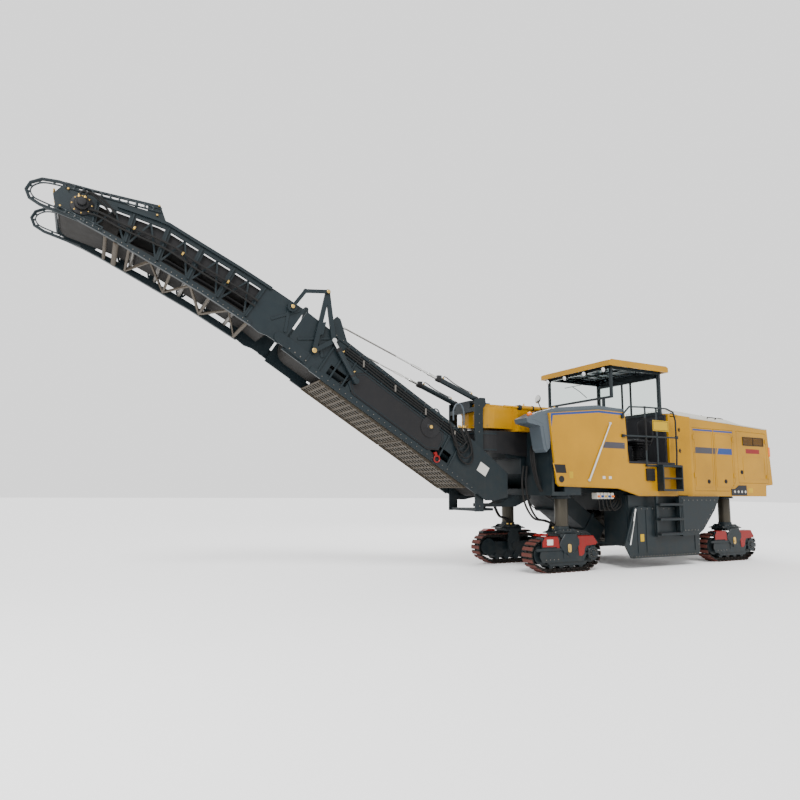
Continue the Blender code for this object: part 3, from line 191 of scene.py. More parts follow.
def basis(direction):
    """Columns: two vectors square to the direction, then the direction."""
    along = unit(np.asarray(direction, float))
    other = np.array((0.0, 0.0, 1.0)) if abs(along[2]) < 0.9 else np.array((1.0, 0.0, 0.0))
    first = unit(np.cross(other, along))
    return np.stack([first, np.cross(along, first), along], 1)


def turned(profile, start, direction, sides=20):
    """A turned form: each (distance, radius) of the profile swept round the direction from the start."""
    profile = np.asarray(profile, float)
    angle = angles(sides)
    ring = np.stack([np.cos(angle), np.sin(angle)], 1)
    local = np.zeros((len(profile), sides, 3))
    local[..., :2] = profile[:, 1, None, None] * ring[None]
    local[..., 2] = profile[:, 0, None]
    return loft(local @ basis(direction).T + np.asarray(start, float))


def boss(profile, x, out, z, side, sides):
    """A turned form that stands outwards on this side, at this distance from the centre plane."""
    return turned(profile, (x, side * out, z), (0, side, 0), sides)


def rod(start, end, radius, sides=16, edge=0.004):
    """A round bar: a profile of one radius from start to end, drawn in by the edge at both ends."""
    start, end = np.asarray(start, float), np.asarray(end, float)
    length = float(np.linalg.norm(end - start))
    edge = min(edge, radius / 2, length / 3)
    profile = [(0, radius - edge), (edge, radius), (length - edge, radius), (length, radius - edge)]
    return turned(profile, start, end - start, sides)


def smooth_path(points, steps=6):
    """Catmull-Rom curve: a cubic between each two points whose slopes come from their neighbours."""
    p = np.asarray(points, float)
    p = np.concatenate([2 * p[:1] - p[1:2], p, 2 * p[-1:] - p[-2:-1]])
    t = (np.arange(steps) / steps)[None, :, None]
    a, b, c, d = (p[i:len(p) - 3 + i, None, :] for i in range(4))
    curve = 0.5 * (2 * b + (c - a) * t + (2 * a - 5 * b + 4 * c - d) * t ** 2
        + (3 * b - a - 3 * c + d) * t ** 3)
    return np.concatenate([curve.reshape(-1, 3), p[-2:-1]])


def sweep(path, profile, loop=False):
    """The profile (side, up) carried along the path, square to it, up towards the normal of its plane."""
    path = np.asarray(path, float)
    if loop:
        along = unit(np.roll(path, -1, 0) - np.roll(path, 1, 0))
    else:
        along = unit(np.gradient(path, axis=0))
    normal = np.linalg.svd(path - path.mean(0))[2][-1]
    side = unit(np.cross(along, normal))
    up = np.cross(side, along)
    profile = np.asarray(profile, float)
    rings = (path[:, None, :] + profile[None, :, :1] * side[:, None, :]
        + profile[None, :, 1:] * up[:, None, :])
    return loft(rings, loop=loop)


def strip(half_width, half_height):
    """A flat profile: the four corners at plus and minus each half size."""
    return [(-half_width, -half_height), (half_width, -half_height), (half_width, half_height),
        (-half_width, half_height)]


def at_y(points, y):
    """Side-view points (X, Z) set at this Y."""
    return np.stack([points[:, 0], np.full(len(points), y), points[:, 1]], 1)


def angles(count):
    """Equal steps of angle round a full turn."""
    return 2 * np.pi * np.arange(count) / count


def ring_at(centre, radius, count):
    """Equal steps round an upright line: the centre plus the radius times each angle's cosine and sine."""
    angle = angles(count)
    return np.stack([centre[0] + radius * np.cos(angle), centre[1] + radius * np.sin(angle),
        np.full(count, centre[2])], 1)


def tube(points, radius, sides=8, steps=6):
    """A round section carried along the smooth curve through the points."""
    path = smooth_path(points, steps) if steps > 1 else np.asarray(points, float)
    return sweep(path, disc((0, 0), radius, sides))


def bolts(places, direction, radius=0.011, height=0.009):
    """Six-sided heads with a drawn-in top, one at each place."""
    head = turned([(0, radius), (height * 0.7, radius), (height, radius * 0.8)], (0, 0, 0), direction, 6)
    return copies(head, places)


def row(start, end, count):
    """Count places at equal spacing from start to end."""
    share = np.linspace(0, 1, count)[:, None]
    return np.asarray(start, float) * (1 - share) + np.asarray(end, float) * share


def perforated(corner, along, aside, columns, rows, open_share=(0.36, 0.36), power=4.0):
    """A sheet of cells: in each, points go from the cell's square edge to a superellipse hole,
    where the hole's radius at an angle is (|cos|^p + |sin|^p)^(-1/p)."""
    angle = angles(16)
    c, s = np.cos(angle), np.sin(angle)
    square = np.stack([c, s], 1) / np.maximum(np.abs(c), np.abs(s))[:, None] * 0.5
    hole = np.stack([c, s], 1) * open_share / (np.abs(c) ** power + np.abs(s) ** power)[:, None] ** (1 / power)
    i, j = np.meshgrid(np.arange(columns), np.arange(rows), indexing="ij")
    centres = np.stack([i.ravel() + 0.5, j.ravel() + 0.5], 1)
    flat = centres[:, None, None, :] + np.stack([square, hole])[None]
    share = flat / (columns, rows)
    points = (np.asarray(corner, float) + share[..., :1] * np.asarray(along, float)
        + share[..., 1:] * np.asarray(aside, float))
    index = np.arange(16)
    quad = np.stack([index, (index + 1) % 16, (index + 1) % 16 + 16, index + 16], 1)
    quads = (quad[None] + 32 * np.arange(len(centres))[:, None, None]).reshape(-1, 4)
    return points.reshape(-1, 3), quads, []


def piece(name, shapes, finish, body, slot, wall=0.0, smooth=35.0):
    """One object from its shapes, shifted from machine stations to the frame, riding on its body."""
    points, quads, caps = joined(*shapes)
    mesh = bpy.data.meshes.new(name)
    mesh.from_pydata((points + (ORIGIN_X, 0, 0)).tolist(), [], quads.tolist() + caps)
    work = bmesh.new()
    work.from_mesh(mesh)
    bmesh.ops.remove_doubles(work, verts=work.verts, dist=0.00002)
    bmesh.ops.recalc_face_normals(work, faces=work.faces)
    work.to_mesh(mesh)
    work.free()
    mesh.shade_smooth()
    mesh.set_sharp_from_angle(angle=math.radians(smooth))
    mesh.materials.append(finish)
    made = bpy.data.objects.new(name, mesh)
    bpy.context.scene.collection.objects.link(made)
    if wall:
        thick = made.modifiers.new("wall", "SOLIDIFY")
        thick.thickness = wall
        thick.offset = 0.0
    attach(made, body)
    return made


# --------------------------------------------------------------- finishes
def add(tree, kind, **settings):
    """A node of this kind with these settings."""
    made = tree.nodes.new(kind)
    for key, value in settings.items():
        setattr(made, key, value)
    return made


def ramp(tree, source, low, high, to_low=0.0, to_high=1.0):
    """The source's range from low to high, spread over the new range and held outside it."""
    made = add(tree, "ShaderNodeMapRange", clamp=True)
    tree.links.new(source, made.inputs["Value"])
    for key, value in zip(("From Min", "From Max", "To Min", "To Max"), (low, high, to_low, to_high)):
        made.inputs[key].default_value = value
    return made.outputs["Result"]


def blend(tree, share, first, second, kind="MIX"):
    """Two colours mixed by the share."""
    made = add(tree, "ShaderNodeMix", data_type="RGBA", blend_type=kind)
    for value, socket in ((share, made.inputs[0]), (first, made.inputs[6]), (second, made.inputs[7])):
        if isinstance(value, (int, float)):
            socket.default_value = value
        elif isinstance(value, tuple):
            socket.default_value = (*value[:3], 1.0)
        else:
            tree.links.new(value, socket)
    return made.outputs[2]


def math_node(tree, operation, first, second):
    """The operation on two values, each a number or a socket."""
    made = add(tree, "ShaderNodeMath", operation=operation)
    for value, socket in ((first, made.inputs[0]), (second, made.inputs[1])):
        if isinstance(value, (int, float)):
            socket.default_value = value
        else:
            tree.links.new(value, socket)
    return made.outputs[0]


def noise(tree, place, scale, detail=3.0, rough=0.55):
    """Fractal noise at the place, from 0 to 1."""
    made = add(tree, "ShaderNodeTexNoise")
    tree.links.new(place, made.inputs["Vector"])
    made.inputs["Scale"].default_value = scale
    made.inputs["Detail"].default_value = detail
    made.inputs["Roughness"].default_value = rough
    return made.outputs["Fac"]


def new_group(name, inputs, outputs):
    """An empty shader group with named sockets, and its input and output nodes."""
    tree = bpy.data.node_groups.new(name, "ShaderNodeTree")
    for label, kind, value in inputs:
        socket = tree.interface.new_socket(label, in_out="INPUT", socket_type=kind)
        socket.default_value = value
    for label, kind in outputs:
        tree.interface.new_socket(label, in_out="OUTPUT", socket_type=kind)
    return tree, add(tree, "NodeGroupInput"), add(tree, "NodeGroupOutput")


def weathering():
    """Site dirt: broad tone shifts, dust that thickens towards the ground, streaks and a fine texture."""
    found = bpy.data.node_groups.get("weathering")
    if found:
        return found
    tree, into, out = new_group("weathering",
        [("Color", "NodeSocketColor", (0.5, 0.5, 0.5, 1)), ("Dust Color", "NodeSocketColor",
        (0.3, 0.26, 0.2, 1)), ("Dust", "NodeSocketFloat", 0.3), ("Roughness", "NodeSocketFloat", 0.4),
        ("Grain", "NodeSocketFloat", 120.0)],
        [("Color", "NodeSocketColor"), ("Roughness", "NodeSocketFloat"), ("Height", "NodeSocketFloat")])
    place = add(tree, "ShaderNodeTexCoord").outputs["Object"]
    split = add(tree, "ShaderNodeSeparateXYZ")
    tree.links.new(place, split.inputs[0])
    stretch = add(tree, "ShaderNodeMapping")
    stretch.inputs["Scale"].default_value = (14.0, 14.0, 1.2)
    tree.links.new(place, stretch.inputs["Vector"])
    broad = noise(tree, place, 1.1, 4.0)
    patch = noise(tree, place, 7.0, 7.0, 0.62)
    streak = noise(tree, stretch.outputs["Vector"], 1.0, 4.0)
    fine = add(tree, "ShaderNodeTexNoise")
    tree.links.new(place, fine.inputs["Vector"])
    tree.links.new(into.outputs["Grain"], fine.inputs["Scale"])
    tone = ramp(tree, broad, 0.3, 0.72, 0.82, 1.06)
    grey = add(tree, "ShaderNodeCombineColor")
    for k in range(3):
        tree.links.new(tone, grey.inputs[k])
    toned = blend(tree, 1.0, into.outputs["Color"], grey.outputs[0], "MULTIPLY")
    low_lying = ramp(tree, split.outputs["Z"], 0.1, 2.6, 1.0, 0.18)
    spots = math_node(tree, "ADD", ramp(tree, patch, 0.44, 0.70), ramp(tree, streak, 0.52, 0.78, 0.0, 0.7))
    share = math_node(tree, "MULTIPLY", math_node(tree, "MULTIPLY", spots, low_lying), into.outputs["Dust"])
    share = math_node(tree, "MINIMUM", share, 0.85)
    tree.links.new(blend(tree, share, toned, into.outputs["Dust Color"]), out.inputs["Color"])
    rough = math_node(tree, "ADD", into.outputs["Roughness"], math_node(tree, "MULTIPLY", share, 0.45))
    rough = math_node(tree, "ADD", rough, ramp(tree, patch, 0.3, 0.7, -0.05, 0.08))
    tree.links.new(math_node(tree, "MINIMUM", rough, 1.0), out.inputs["Roughness"])
    height = math_node(tree, "ADD", math_node(tree, "MULTIPLY", fine.outputs["Fac"], 0.35),
        math_node(tree, "MULTIPLY", share, 0.5))
    tree.links.new(height, out.inputs["Height"])
    return tree


def finish(name, colour, roughness, metallic, dust, coat, grain, bump):
    """A painted, cast or moulded surface: its own colour and gloss under the shared weathering."""
    found = bpy.data.materials.get(name)
    if found:
        return found
    made = bpy.data.materials.new(name)
    made.use_nodes = True
    tree = made.node_tree
    shader = tree.nodes["Principled BSDF"]
    dirt = add(tree, "ShaderNodeGroup", node_tree=weathering())
    dirt.inputs["Color"].default_value = (*colour, 1.0)
    dirt.inputs["Dust Color"].default_value = (*settings().dust_colour, 1.0)
    dirt.inputs["Dust"].default_value = dust * settings().dust_share
    dirt.inputs["Roughness"].default_value = roughness
    dirt.inputs["Grain"].default_value = grain
    relief = add(tree, "ShaderNodeBump")
    relief.inputs["Strength"].default_value = bump
    relief.inputs["Distance"].default_value = 0.002
    tree.links.new(dirt.outputs["Color"], shader.inputs["Base Color"])
    tree.links.new(dirt.outputs["Roughness"], shader.inputs["Roughness"])
    tree.links.new(dirt.outputs["Height"], relief.inputs["Height"])
    tree.links.new(relief.outputs["Normal"], shader.inputs["Normal"])
    shader.inputs["Metallic"].default_value = metallic
    shader.inputs["Coat Weight"].default_value = coat
    shader.inputs["Coat Roughness"].default_value = 0.12
    shader.inputs["Specular IOR Level"].default_value = 0.22
    return made


def glazing():
    """Tinted glass with a faint dusty of dust."""
    found = bpy.data.materials.get("tinted glass")
    if found:
        return found
    made = bpy.data.materials.new("tinted glass")
    made.use_nodes = True
    tree = made.node_tree
    shader = tree.nodes["Principled BSDF"]
    dusty = ramp(tree, noise(tree, add(tree, "ShaderNodeTexCoord").outputs["Object"], 3.0, 5.0), 0.4, 0.8, 0.02,
        0.16)
    tree.links.new(dusty, shader.inputs["Roughness"])
    shader.inputs["Base Color"].default_value = (0.82, 0.9, 0.88, 1.0)
    shader.inputs["Transmission Weight"].default_value = 1.0
    shader.inputs["IOR"].default_value = 1.02
    return made


# name, colour (or the setting that holds it), roughness, metallic, dust, coat, grain and bump of each finish
FINISHES = {
    "yellow": ("golden yellow paint", "yellow", 0.33, 0.0, 0.12, 0.14, 90.0, 0.03),
    "slate": ("slate blue paint", "slate", 0.42, 0.0, 0.3, 0.06, 110.0, 0.05),
    "black": ("satin black paint", "black", 0.48, 0.0, 0.28, 0.0, 140.0, 0.06),
    "charcoal": ("charcoal grip coat", (0.018, 0.019, 0.023), 0.62, 0.0, 0.3, 0.0, 420.0, 0.25),
    "steel": ("bare worn steel", (0.16, 0.15, 0.135), 0.42, 0.85, 0.35, 0.0, 200.0, 0.12),
    "silver": ("pale silver paint", "silver", 0.36, 0.15, 0.18, 0.08, 90.0, 0.03),
    "grey": ("blue grey paint", "grey", 0.36, 0.0, 0.16, 0.1, 90.0, 0.03),
    "red": ("guard red paint", "red", 0.35, 0.0, 0.3, 0.1, 110.0, 0.05),
    "blue": ("stripe blue film", "blue", 0.34, 0.0, 0.1, 0.08, 90.0, 0.02),
    "stripe": ("stripe grey film", (0.045, 0.043, 0.052), 0.4, 0.0, 0.1, 0.04, 90.0, 0.02),
    "label": ("label film", (0.5, 0.49, 0.46), 0.45, 0.0, 0.1, 0.0, 90.0, 0.02),
    "label_yellow": ("yellow label film", (0.42, 0.26, 0.004), 0.45, 0.0, 0.1, 0.0, 90.0, 0.02),
    "column": ("greased column steel", (0.045, 0.04, 0.03), 0.36, 0.45, 0.4, 0.04, 90.0, 0.06),
    "pad": ("worn track pad", (0.095, 0.026, 0.02), 0.7, 0.0, 0.5, 0.0, 240.0, 0.3),
    "shoe": ("track link steel", (0.022, 0.02, 0.019), 0.5, 0.5, 0.5, 0.0, 200.0, 0.2),
    "gold": ("brass fitting", (0.55, 0.36, 0.1), 0.32, 0.85, 0.2, 0.0, 90.0, 0.05),
    "chrome": ("plated rod", (0.62, 0.62, 0.6), 0.16, 1.0, 0.08, 0.0, 90.0, 0.01),
    "rubber": ("hose rubber", (0.007, 0.007, 0.007), 0.72, 0.0, 0.35, 0.0, 260.0, 0.2),
    "belt": ("conveyor belt rubber", (0.012, 0.011, 0.01), 0.72, 0.0, 0.35, 0.0, 260.0, 0.2),
    "guard": ("worn mesh guard", (0.06, 0.048, 0.034), 0.6, 0.2, 0.4, 0.0, 160.0, 0.12),
    "lamp": ("lamp lens", (0.75, 0.77, 0.78), 0.14, 0.0, 0.05, 0.24, 60.0, 0.05),
    "amber": ("amber lens", (0.6, 0.12, 0.004), 0.2, 0.0, 0.05, 0.24, 60.0, 0.05),
    "louvre": ("bronze louvre", (0.085, 0.042, 0.012), 0.5, 0.4, 0.2, 0.0, 160.0, 0.06),
    "vinyl": ("seat vinyl", (0.012, 0.012, 0.014), 0.55, 0.0, 0.12, 0.0, 520.0, 0.5),
}


def paint(key):
    """The material that goes with each finish, made the first time it is asked for."""
    if key == "glass":
        return glazing()
    name, colour, *values = FINISHES[key]
    return finish(name, tuple(getattr(settings(), colour)) if isinstance(colour, str) else colour, *values)


SLOTS = {"red": "slate", "blue": "yellow", "stripe": "yellow", "label": "silver", "label_yellow": "yellow",
    "column": "steel", "pad": "shoe", "gold": "steel", "chrome": "steel", "rubber": "black",
    "guard": "steel", "lamp": "glass", "amber": "glass", "louvre": "black", "vinyl": "seat"}


def make(name, key, body, *shapes, **more):
    """A finished piece in this paint, on this body."""
    return piece(name, shapes, paint(key), body, SLOTS.get(key, key), **more)


# ------------------------------------------------------- running gear
def track_circles():
    """Two end wheels and two bottom rollers: centre X, centre Z and radius."""
    return np.array([(0.575, 0.335, 0.265), (-0.575, 0.335, 0.265), (0.46, 0.12, 0.12), (-0.46, 0.12, 0.12)])


def track_route(depth, count, offset=0.0):
    """Places and outward directions at equal steps round the belt that wraps the circles,
    at this depth under its outside: the support point of the circles at each angle."""
    angle = angles(720)
    facing = np.stack([np.cos(angle), np.sin(angle)], 1)
    circles = track_circles()
    reach = circles[:, 0] * facing[:, :1] + circles[:, 1] * facing[:, 1:] + circles[:, 2]
    held = circles[np.argmax(reach, 1)]
    points = held[:, :2] + (held[:, 2:] - depth) * facing
    closed = np.concatenate([points, points[:1]])
    run = np.concatenate([[0], np.cumsum(np.linalg.norm(np.diff(closed, axis=0), axis=1))])
    want = (np.arange(count) + offset) / count * run[-1]
    x, z = np.interp(want, run, closed[:, 0]), np.interp(want, run, closed[:, 1])
    ahead = unit(np.stack([np.interp(want + 0.02, run, closed[:, 0], period=run[-1])
        - np.interp(want - 0.02, run, closed[:, 0], period=run[-1]),
        np.interp(want + 0.02, run, closed[:, 1], period=run[-1])
        - np.interp(want - 0.02, run, closed[:, 1], period=run[-1])], 1))
    return x, z, ahead


def track_turns(ahead):
    """Turns a part drawn with X ahead, Y across and Z outwards onto the belt."""
    turns = np.zeros((len(ahead), 3, 3))
    turns[:, 0, 0], turns[:, 2, 0] = ahead[:, 0], ahead[:, 1]
    turns[:, 1, 1] = -1.0
    turns[:, 0, 2], turns[:, 2, 2] = ahead[:, 1], -ahead[:, 0]
    return turns


def make_tracks():
    """Shoes, pads and chain links set at equal steps round each track's belt line, then its guards."""
    s = settings()
    half = TRACK_HALF
    for end, axle in AXLES.items():
        for side in SIDES:
            tag = f"{end}_{SIDE_NAMES[side]}"
            body = f"track_unit_{tag}"
            y = side * TRACK_Y
            count = s.shoe_count
            x, z, ahead = track_route(0.0, count)
            places = np.stack([x + axle, np.full(count, y), z], 1)
            turns = track_turns(ahead)
            pitch = 3.06 / count
            length = pitch * 0.93
            shoe = slab([(-length / 2, -0.030), (length / 2, -0.030), (length / 2, -0.020),
                (length / 2 - 0.006, -0.014),
                (-length / 2 + 0.006, -0.014), (-length / 2, -0.020)], -half, half, "xz", 0.004)
            pad = slab([(-length * 0.40, -0.0145), (length * 0.40, -0.0145), (length * 0.34, -0.0005),
                (-length * 0.34, -0.0005)], -half + 0.008, half - 0.008, "xz", 0.005)
            tracks = make(f"track_shoes_{tag}", "shoe", body, copies(shoe, places, turns))
            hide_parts(f"track_{tag}")
            make(f"track_pads_{tag}", "pad", body, copies(pad, places, turns))
            link_x, link_z, link_ahead = track_route(0.052, count, 0.5)
            link_places = np.stack([link_x + axle, np.full(count, y), link_z], 1)
            oval = rounded(-pitch * 0.60, pitch * 0.60, -0.024, 0.022, 0.020)
            strands = joined(*(slab(oval, at - 0.011 + k * 0.004, at + 0.011 + k * 0.004, "xz", 0.003)
                for at, k in ((0.055, 0), (-0.055, 0))))
            pin = rod((-pitch / 2, -0.085, 0), (-pitch / 2, 0.085, 0), 0.011, 8, 0.002)
            make(f"track_chain_{tag}", "shoe", body, copies(joined(strands, pin), link_places,
                track_turns(link_ahead)))
            make_guards(tag, body, axle, side)


def make_guards(tag, body, axle, side):
    """End guards, beam, pin keeper, wheel hub and bolts outside a track, its saddle and its column sleeve."""
    y = side * TRACK_Y
    edge = TRACK_Y + TRACK_HALF
    out, skin = edge + 0.041, edge + 0.033

    def face(points):
        """Side-view points measured from the axle."""
        return [(axle + a, b) for a, b in points]
    front = face([(0.22, 0.405), (0.28, 0.405), (0.30, 0.475), (0.62, 0.475), (0.62, 0.56), (0.56, 0.652),
        (0.27, 0.652), (0.24, 0.60)])
    rear = face([(-0.24, 0.30), (-0.30, 0.29), (-0.36, 0.33), (-0.38, 0.43), (-0.42, 0.475), (-0.66, 0.490),
        (-0.69, 0.53), (-0.60, 0.652), (-0.22, 0.652), (-0.20, 0.60)])
    tops = [block(axle + a, axle + b, *across(TRACK_Y + 0.04, out + 0.012, side), 0.645, 0.657)
        for a, b in ((0.26, 0.57), (-0.60, -0.21))]
    make(f"track_guards_{tag}", "red", body, plate(front, out, out + 0.012, side, 0.005),
        plate(rear, out, out + 0.012, side, 0.005), *tops)
    beam = face([(-0.36, 0.20), (0.62, 0.20), (0.68, 0.30), (0.66, 0.40), (-0.36, 0.40), (-0.44, 0.34)])
    ledge = face([(-0.20, 0.405), (0.74, 0.405), (0.78, 0.43), (0.74, 0.455), (-0.20, 0.455)])
    skirt = face([(-0.42, 0.13), (0.42, 0.13), (0.50, 0.205), (-0.48, 0.205)])
    gusset = face([(-0.24, 0.50), (-0.10, 0.36), (0.12, 0.36), (0.24, 0.50), (0.20, 0.58), (0.10, 0.705),
        (-0.14, 0.705), (-0.24, 0.60)])
    make(f"track_beams_{tag}", "slate", body, plate(beam, skin, skin + 0.010, side),
        plate(ledge, skin, skin + 0.026, side, 0.006), plate(skirt, edge - 0.02, edge + 0.012, side, 0.005),
        plate(gusset, skin + 0.009, skin + 0.034, side, 0.007))
    wheel = boss([(0, 0.125), (0.03, 0.125), (0.036, 0.118), (0.036, 0.085), (0.03, 0.08), (0.03, 0.055),
        (0.05, 0.05), (0.052, 0.02)], axle - 0.575, edge + 0.030, 0.335, side, 28)
    notches = copies(block(0.118, 0.140, -0.017, 0.017, 0.0, 0.03), [(0, 0, 0)] * 10, spin(10, side))
    notches = (notches[0] + (axle - 0.575, side * (edge + 0.030), 0.335), notches[1], notches[2])
    make(f"drive_wheels_{tag}", "slate", body, wheel, notches)
    ring = disc((axle - 0.575, 0.335), 0.068, 10)
    heads = at_y(ring, side * (edge + 0.066))
    rail = row((axle + 0.26, side * (edge + 0.042), 0.25), (axle + 0.54, side * (edge + 0.042), 0.25), 4)
    make(f"track_bolts_{tag}", "steel", body, bolts(heads, (0, side, 0), 0.009), bolts(rail, (0, side, 0)))
    cap = plate(rounded(axle - 0.035, axle + 0.045, 0.37, 0.52, 0.035), edge + 0.066, edge + 0.076, side, 0.003)
    knob = boss([(0, 0.022), (0.010, 0.020), (0.012, 0.01)], axle + 0.005, edge + 0.075, 0.43, side, 14)
    make(f"pin_caps_{tag}", "gold", body, cap, knob)
    saddle = [(axle - 0.30, 0.712), (axle + 0.30, 0.712), (axle + 0.17, 0.79), (axle - 0.17, 0.79)]
    webs = [slab(saddle, y + k - 0.012, y + k + 0.012, "xz", 0.004) for k in (0.135, -0.135)]
    bed = block(axle - 0.31, axle + 0.31, y - TRACK_HALF - 0.03, y + TRACK_HALF + 0.03, 0.7055, 0.728)
    collar = turned([(0.0, 0.20), (0.03, 0.20), (0.036, 0.194), (0.036, 0.145), (0.10, 0.138), (0.105, 0.130)],
        (axle, y, 0.728), (0, 0, 1), 32)
    make(f"saddles_{tag}", "slate", body, bed, *webs, collar)
    around = ring_at((axle, y, 0.764), 0.170, 12)
    corners = [(axle + a, y + b, 0.728) for a in (-0.27, 0.27) for b in (-0.145, 0.145)]
    make(f"saddle_bolts_{tag}", "steel", body, bolts(around, (0, 0, 1)),
        bolts(corners, (0, 0, 1), 0.016, 0.014))
    sleeve = turned([(0, 0.1262), (0.002, 0.1268), (0.50, 0.1268), (0.502, 0.1262)],
        (axle, y, 0.835), (0, 0, 1), 40)
    make(f"column_sleeves_{tag}", "column", body, sleeve)
    if axle > 0:
        label = plate(rounded(axle + 0.38, axle + 0.52, 0.51, 0.61, 0.01), out + 0.0125, out + 0.0145, side,
            0.0005)
        make(f"guard_labels_{tag}", "label", body, label)
        stop = [(axle + 0.62, 0.665), (axle + 0.40, 0.665), (axle + 0.40, 0.70), (axle + 0.56, 0.70)]
        make(f"guard_steps_{tag}", "red", body, slab(stop, y - 0.09, y + 0.09, "xz", 0.006))


def spin(count, side):
    """Turns by equal steps round Y, for parts drawn with X outwards and Z across."""
    angle = angles(count)
    c, s, o = np.cos(angle), np.sin(angle), np.zeros(count)
    return np.stack([np.stack([c, s, o], -1), np.stack([o, o, o + side], -1), np.stack([s, -c, o], -1)], 1)


# ------------------------------------------------------ drum and side gear
def make_drum():
    """Picks in two opposed helices round the drum, each a holder block and a pointed tip."""
    s = settings()
    count = s.pick_count
    holder = joined(turned([(0, 0.032), (0.05, 0.030), (0.055, 0.020)], (-0.02, 0, 0), (0.5, 0, 0.86), 8),
        turned([(0, 0.014), (0.022, 0.013), (0.044, 0.003)], (0.008, 0, 0.045), (0.5, 0, 0.86), 8))
    share = (np.arange(count) + 0.5) / count
    across_y = (share * 2 - 1) * 0.95
    angle = np.abs(across_y) * 7.0 + (np.arange(count) % 3) * 2 * np.pi / 3
    c, s_ = np.cos(angle), np.sin(angle)
    o = np.zeros(count)
    turns = np.stack([np.stack([-s_, o, c], -1), np.stack([o, o + 1, o], -1), np.stack([c, o, s_], -1)], 1)
    places = np.stack([DRUM_STATION + 0.405 * c, across_y, 0.80 + 0.405 * s_], 1)
    make("drum_picks", "steel", "milling_drum", copies(holder, places, turns))
    turn = np.linspace(0, 2 * np.pi * 1.1, 60)
    helix = []
    for start in range(3):
        for side in SIDES:
            a = turn + start * 2 * np.pi / 3
            helix.append(np.stack([DRUM_STATION + 0.415 * np.cos(a), side * (0.02 + 0.93 * turn / turn[-1]),
                0.80 + 0.415 * np.sin(a)], 1))
    make("drum_flights", "steel", "milling_drum", *(tube(h, 0.016, 6, 1) for h in helix))


def make_side_gear():
    """Side plates with ribs, rods and bolts; bulged housing covers; studded ladder treads."""
    for side, tag in SIDE_NAMES.items():
        body = f"side_plate_{tag}"
        face = HALF_WIDTH - 0.05
        low = row((-1.24, side * (face + 0.010), 0.235), (0.44, side * (face + 0.010), 0.235), 22)
        top = row((-1.30, side * face, 1.15), (0.40, side * face, 1.15), 12)
        edge = row((-1.385, side * face, 0.42), (-1.385, side * face, 1.02), 6)
        make(f"side_plate_bolts_{tag}", "steel", body, bolts(low, (0, side, 0), 0.012),
            bolts(top, (0, side, 0)), bolts(edge, (0, side, 0)))
        ribs = [plate([(x, 0.30), (x + 0.035, 0.30), (x + 0.035, 1.12), (x, 1.12)], face - 0.002, face + 0.012,
            side) for x in (-1.30, 0.10, 0.34)]
        brace = plate([(0.44, 0.90), (0.60, 0.52), (0.64, 0.54), (0.48, 0.92)], face - 0.002, face + 0.012,
            side)
        make(f"side_plate_ribs_{tag}", "slate", body, *ribs, brace)
        make(f"side_plate_rods_{tag}", "chrome", body,
            rod((0.58, side * (face - 0.001), 0.46), (0.40, side * (face - 0.001), 1.15), 0.016, 14))
        label = plate(rounded(0.20, 0.30, 0.52, 0.66, 0.01), face, face + 0.002, side, 0.0005)
        make(f"side_plate_labels_{tag}", "label_yellow", body, label)
        skin = HALF_WIDTH + 0.06
        bulge = [(-0.80, 0.70), (-1.24, 0.70), (-1.40, 0.78), (-1.72, 1.13), (-1.86, 1.34), (-0.80, 1.34)]
        rim = inset(bulge, -0.035)
        frame_ring = plate(rim, skin - 0.001, skin + 0.008, side)
        panel = plate(bulge, skin + 0.004, skin + 0.018, side, 0.010)
        heads = np.concatenate([row((-0.84, 0, 0.72), (-1.22, 0, 0.72), 5),
            row((-1.44, 0, 0.83), (-1.70, 0, 1.12), 4), row((-0.84, 0, 1.32), (-1.78, 0, 1.32), 8)])
        heads[:, 1] = side * (skin + 0.017)
        make(f"housing_covers_{tag}", "slate", "chassis", frame_ring, panel)
        make(f"housing_bolts_{tag}", "steel", "chassis", bolts(heads, (0, side, 0)))
        treads = [block(-0.77, -0.13, *across(HALF_WIDTH + 0.005, HALF_WIDTH + 0.099, side), z, z + 0.010,
            0.003) for z in (0.668, 0.958, 1.248)]
        studs = np.concatenate([np.stack(np.meshgrid(np.linspace(-0.74, -0.16, 14),
            side * (HALF_WIDTH + np.array((0.035, 0.07))), [z]), -1).reshape(-1, 3)
            for z in (0.678, 0.968, 1.258)])
        make(f"ladder_treads_{tag}", "charcoal", "chassis", *treads,
            copies(turned([(0, 0.009), (0.005, 0.006)], (0, 0, 0), (0, 0, 1), 6), studs))


# ------------------------------------------------------------------ bodywork
def film(name, key, body, outline, side):
    """A thin film on the outer skin."""
    return make(name, key, body, plate(outline, HALF_WIDTH + 0.0002, HALF_WIDTH + 0.0016, side, 0.0004))


def latch(x, z, side, base):
    """A round lock: a turned profile with a raised rim, a sunk ring and a key cap."""
    return joined(boss([(0, 0.046), (0.006, 0.046), (0.010, 0.040), (0.010, 0.030), (0.006, 0.028),
        (0.006, 0.012), (0.016, 0.010), (0.016, 0.004)], x, base, z, side, 24))


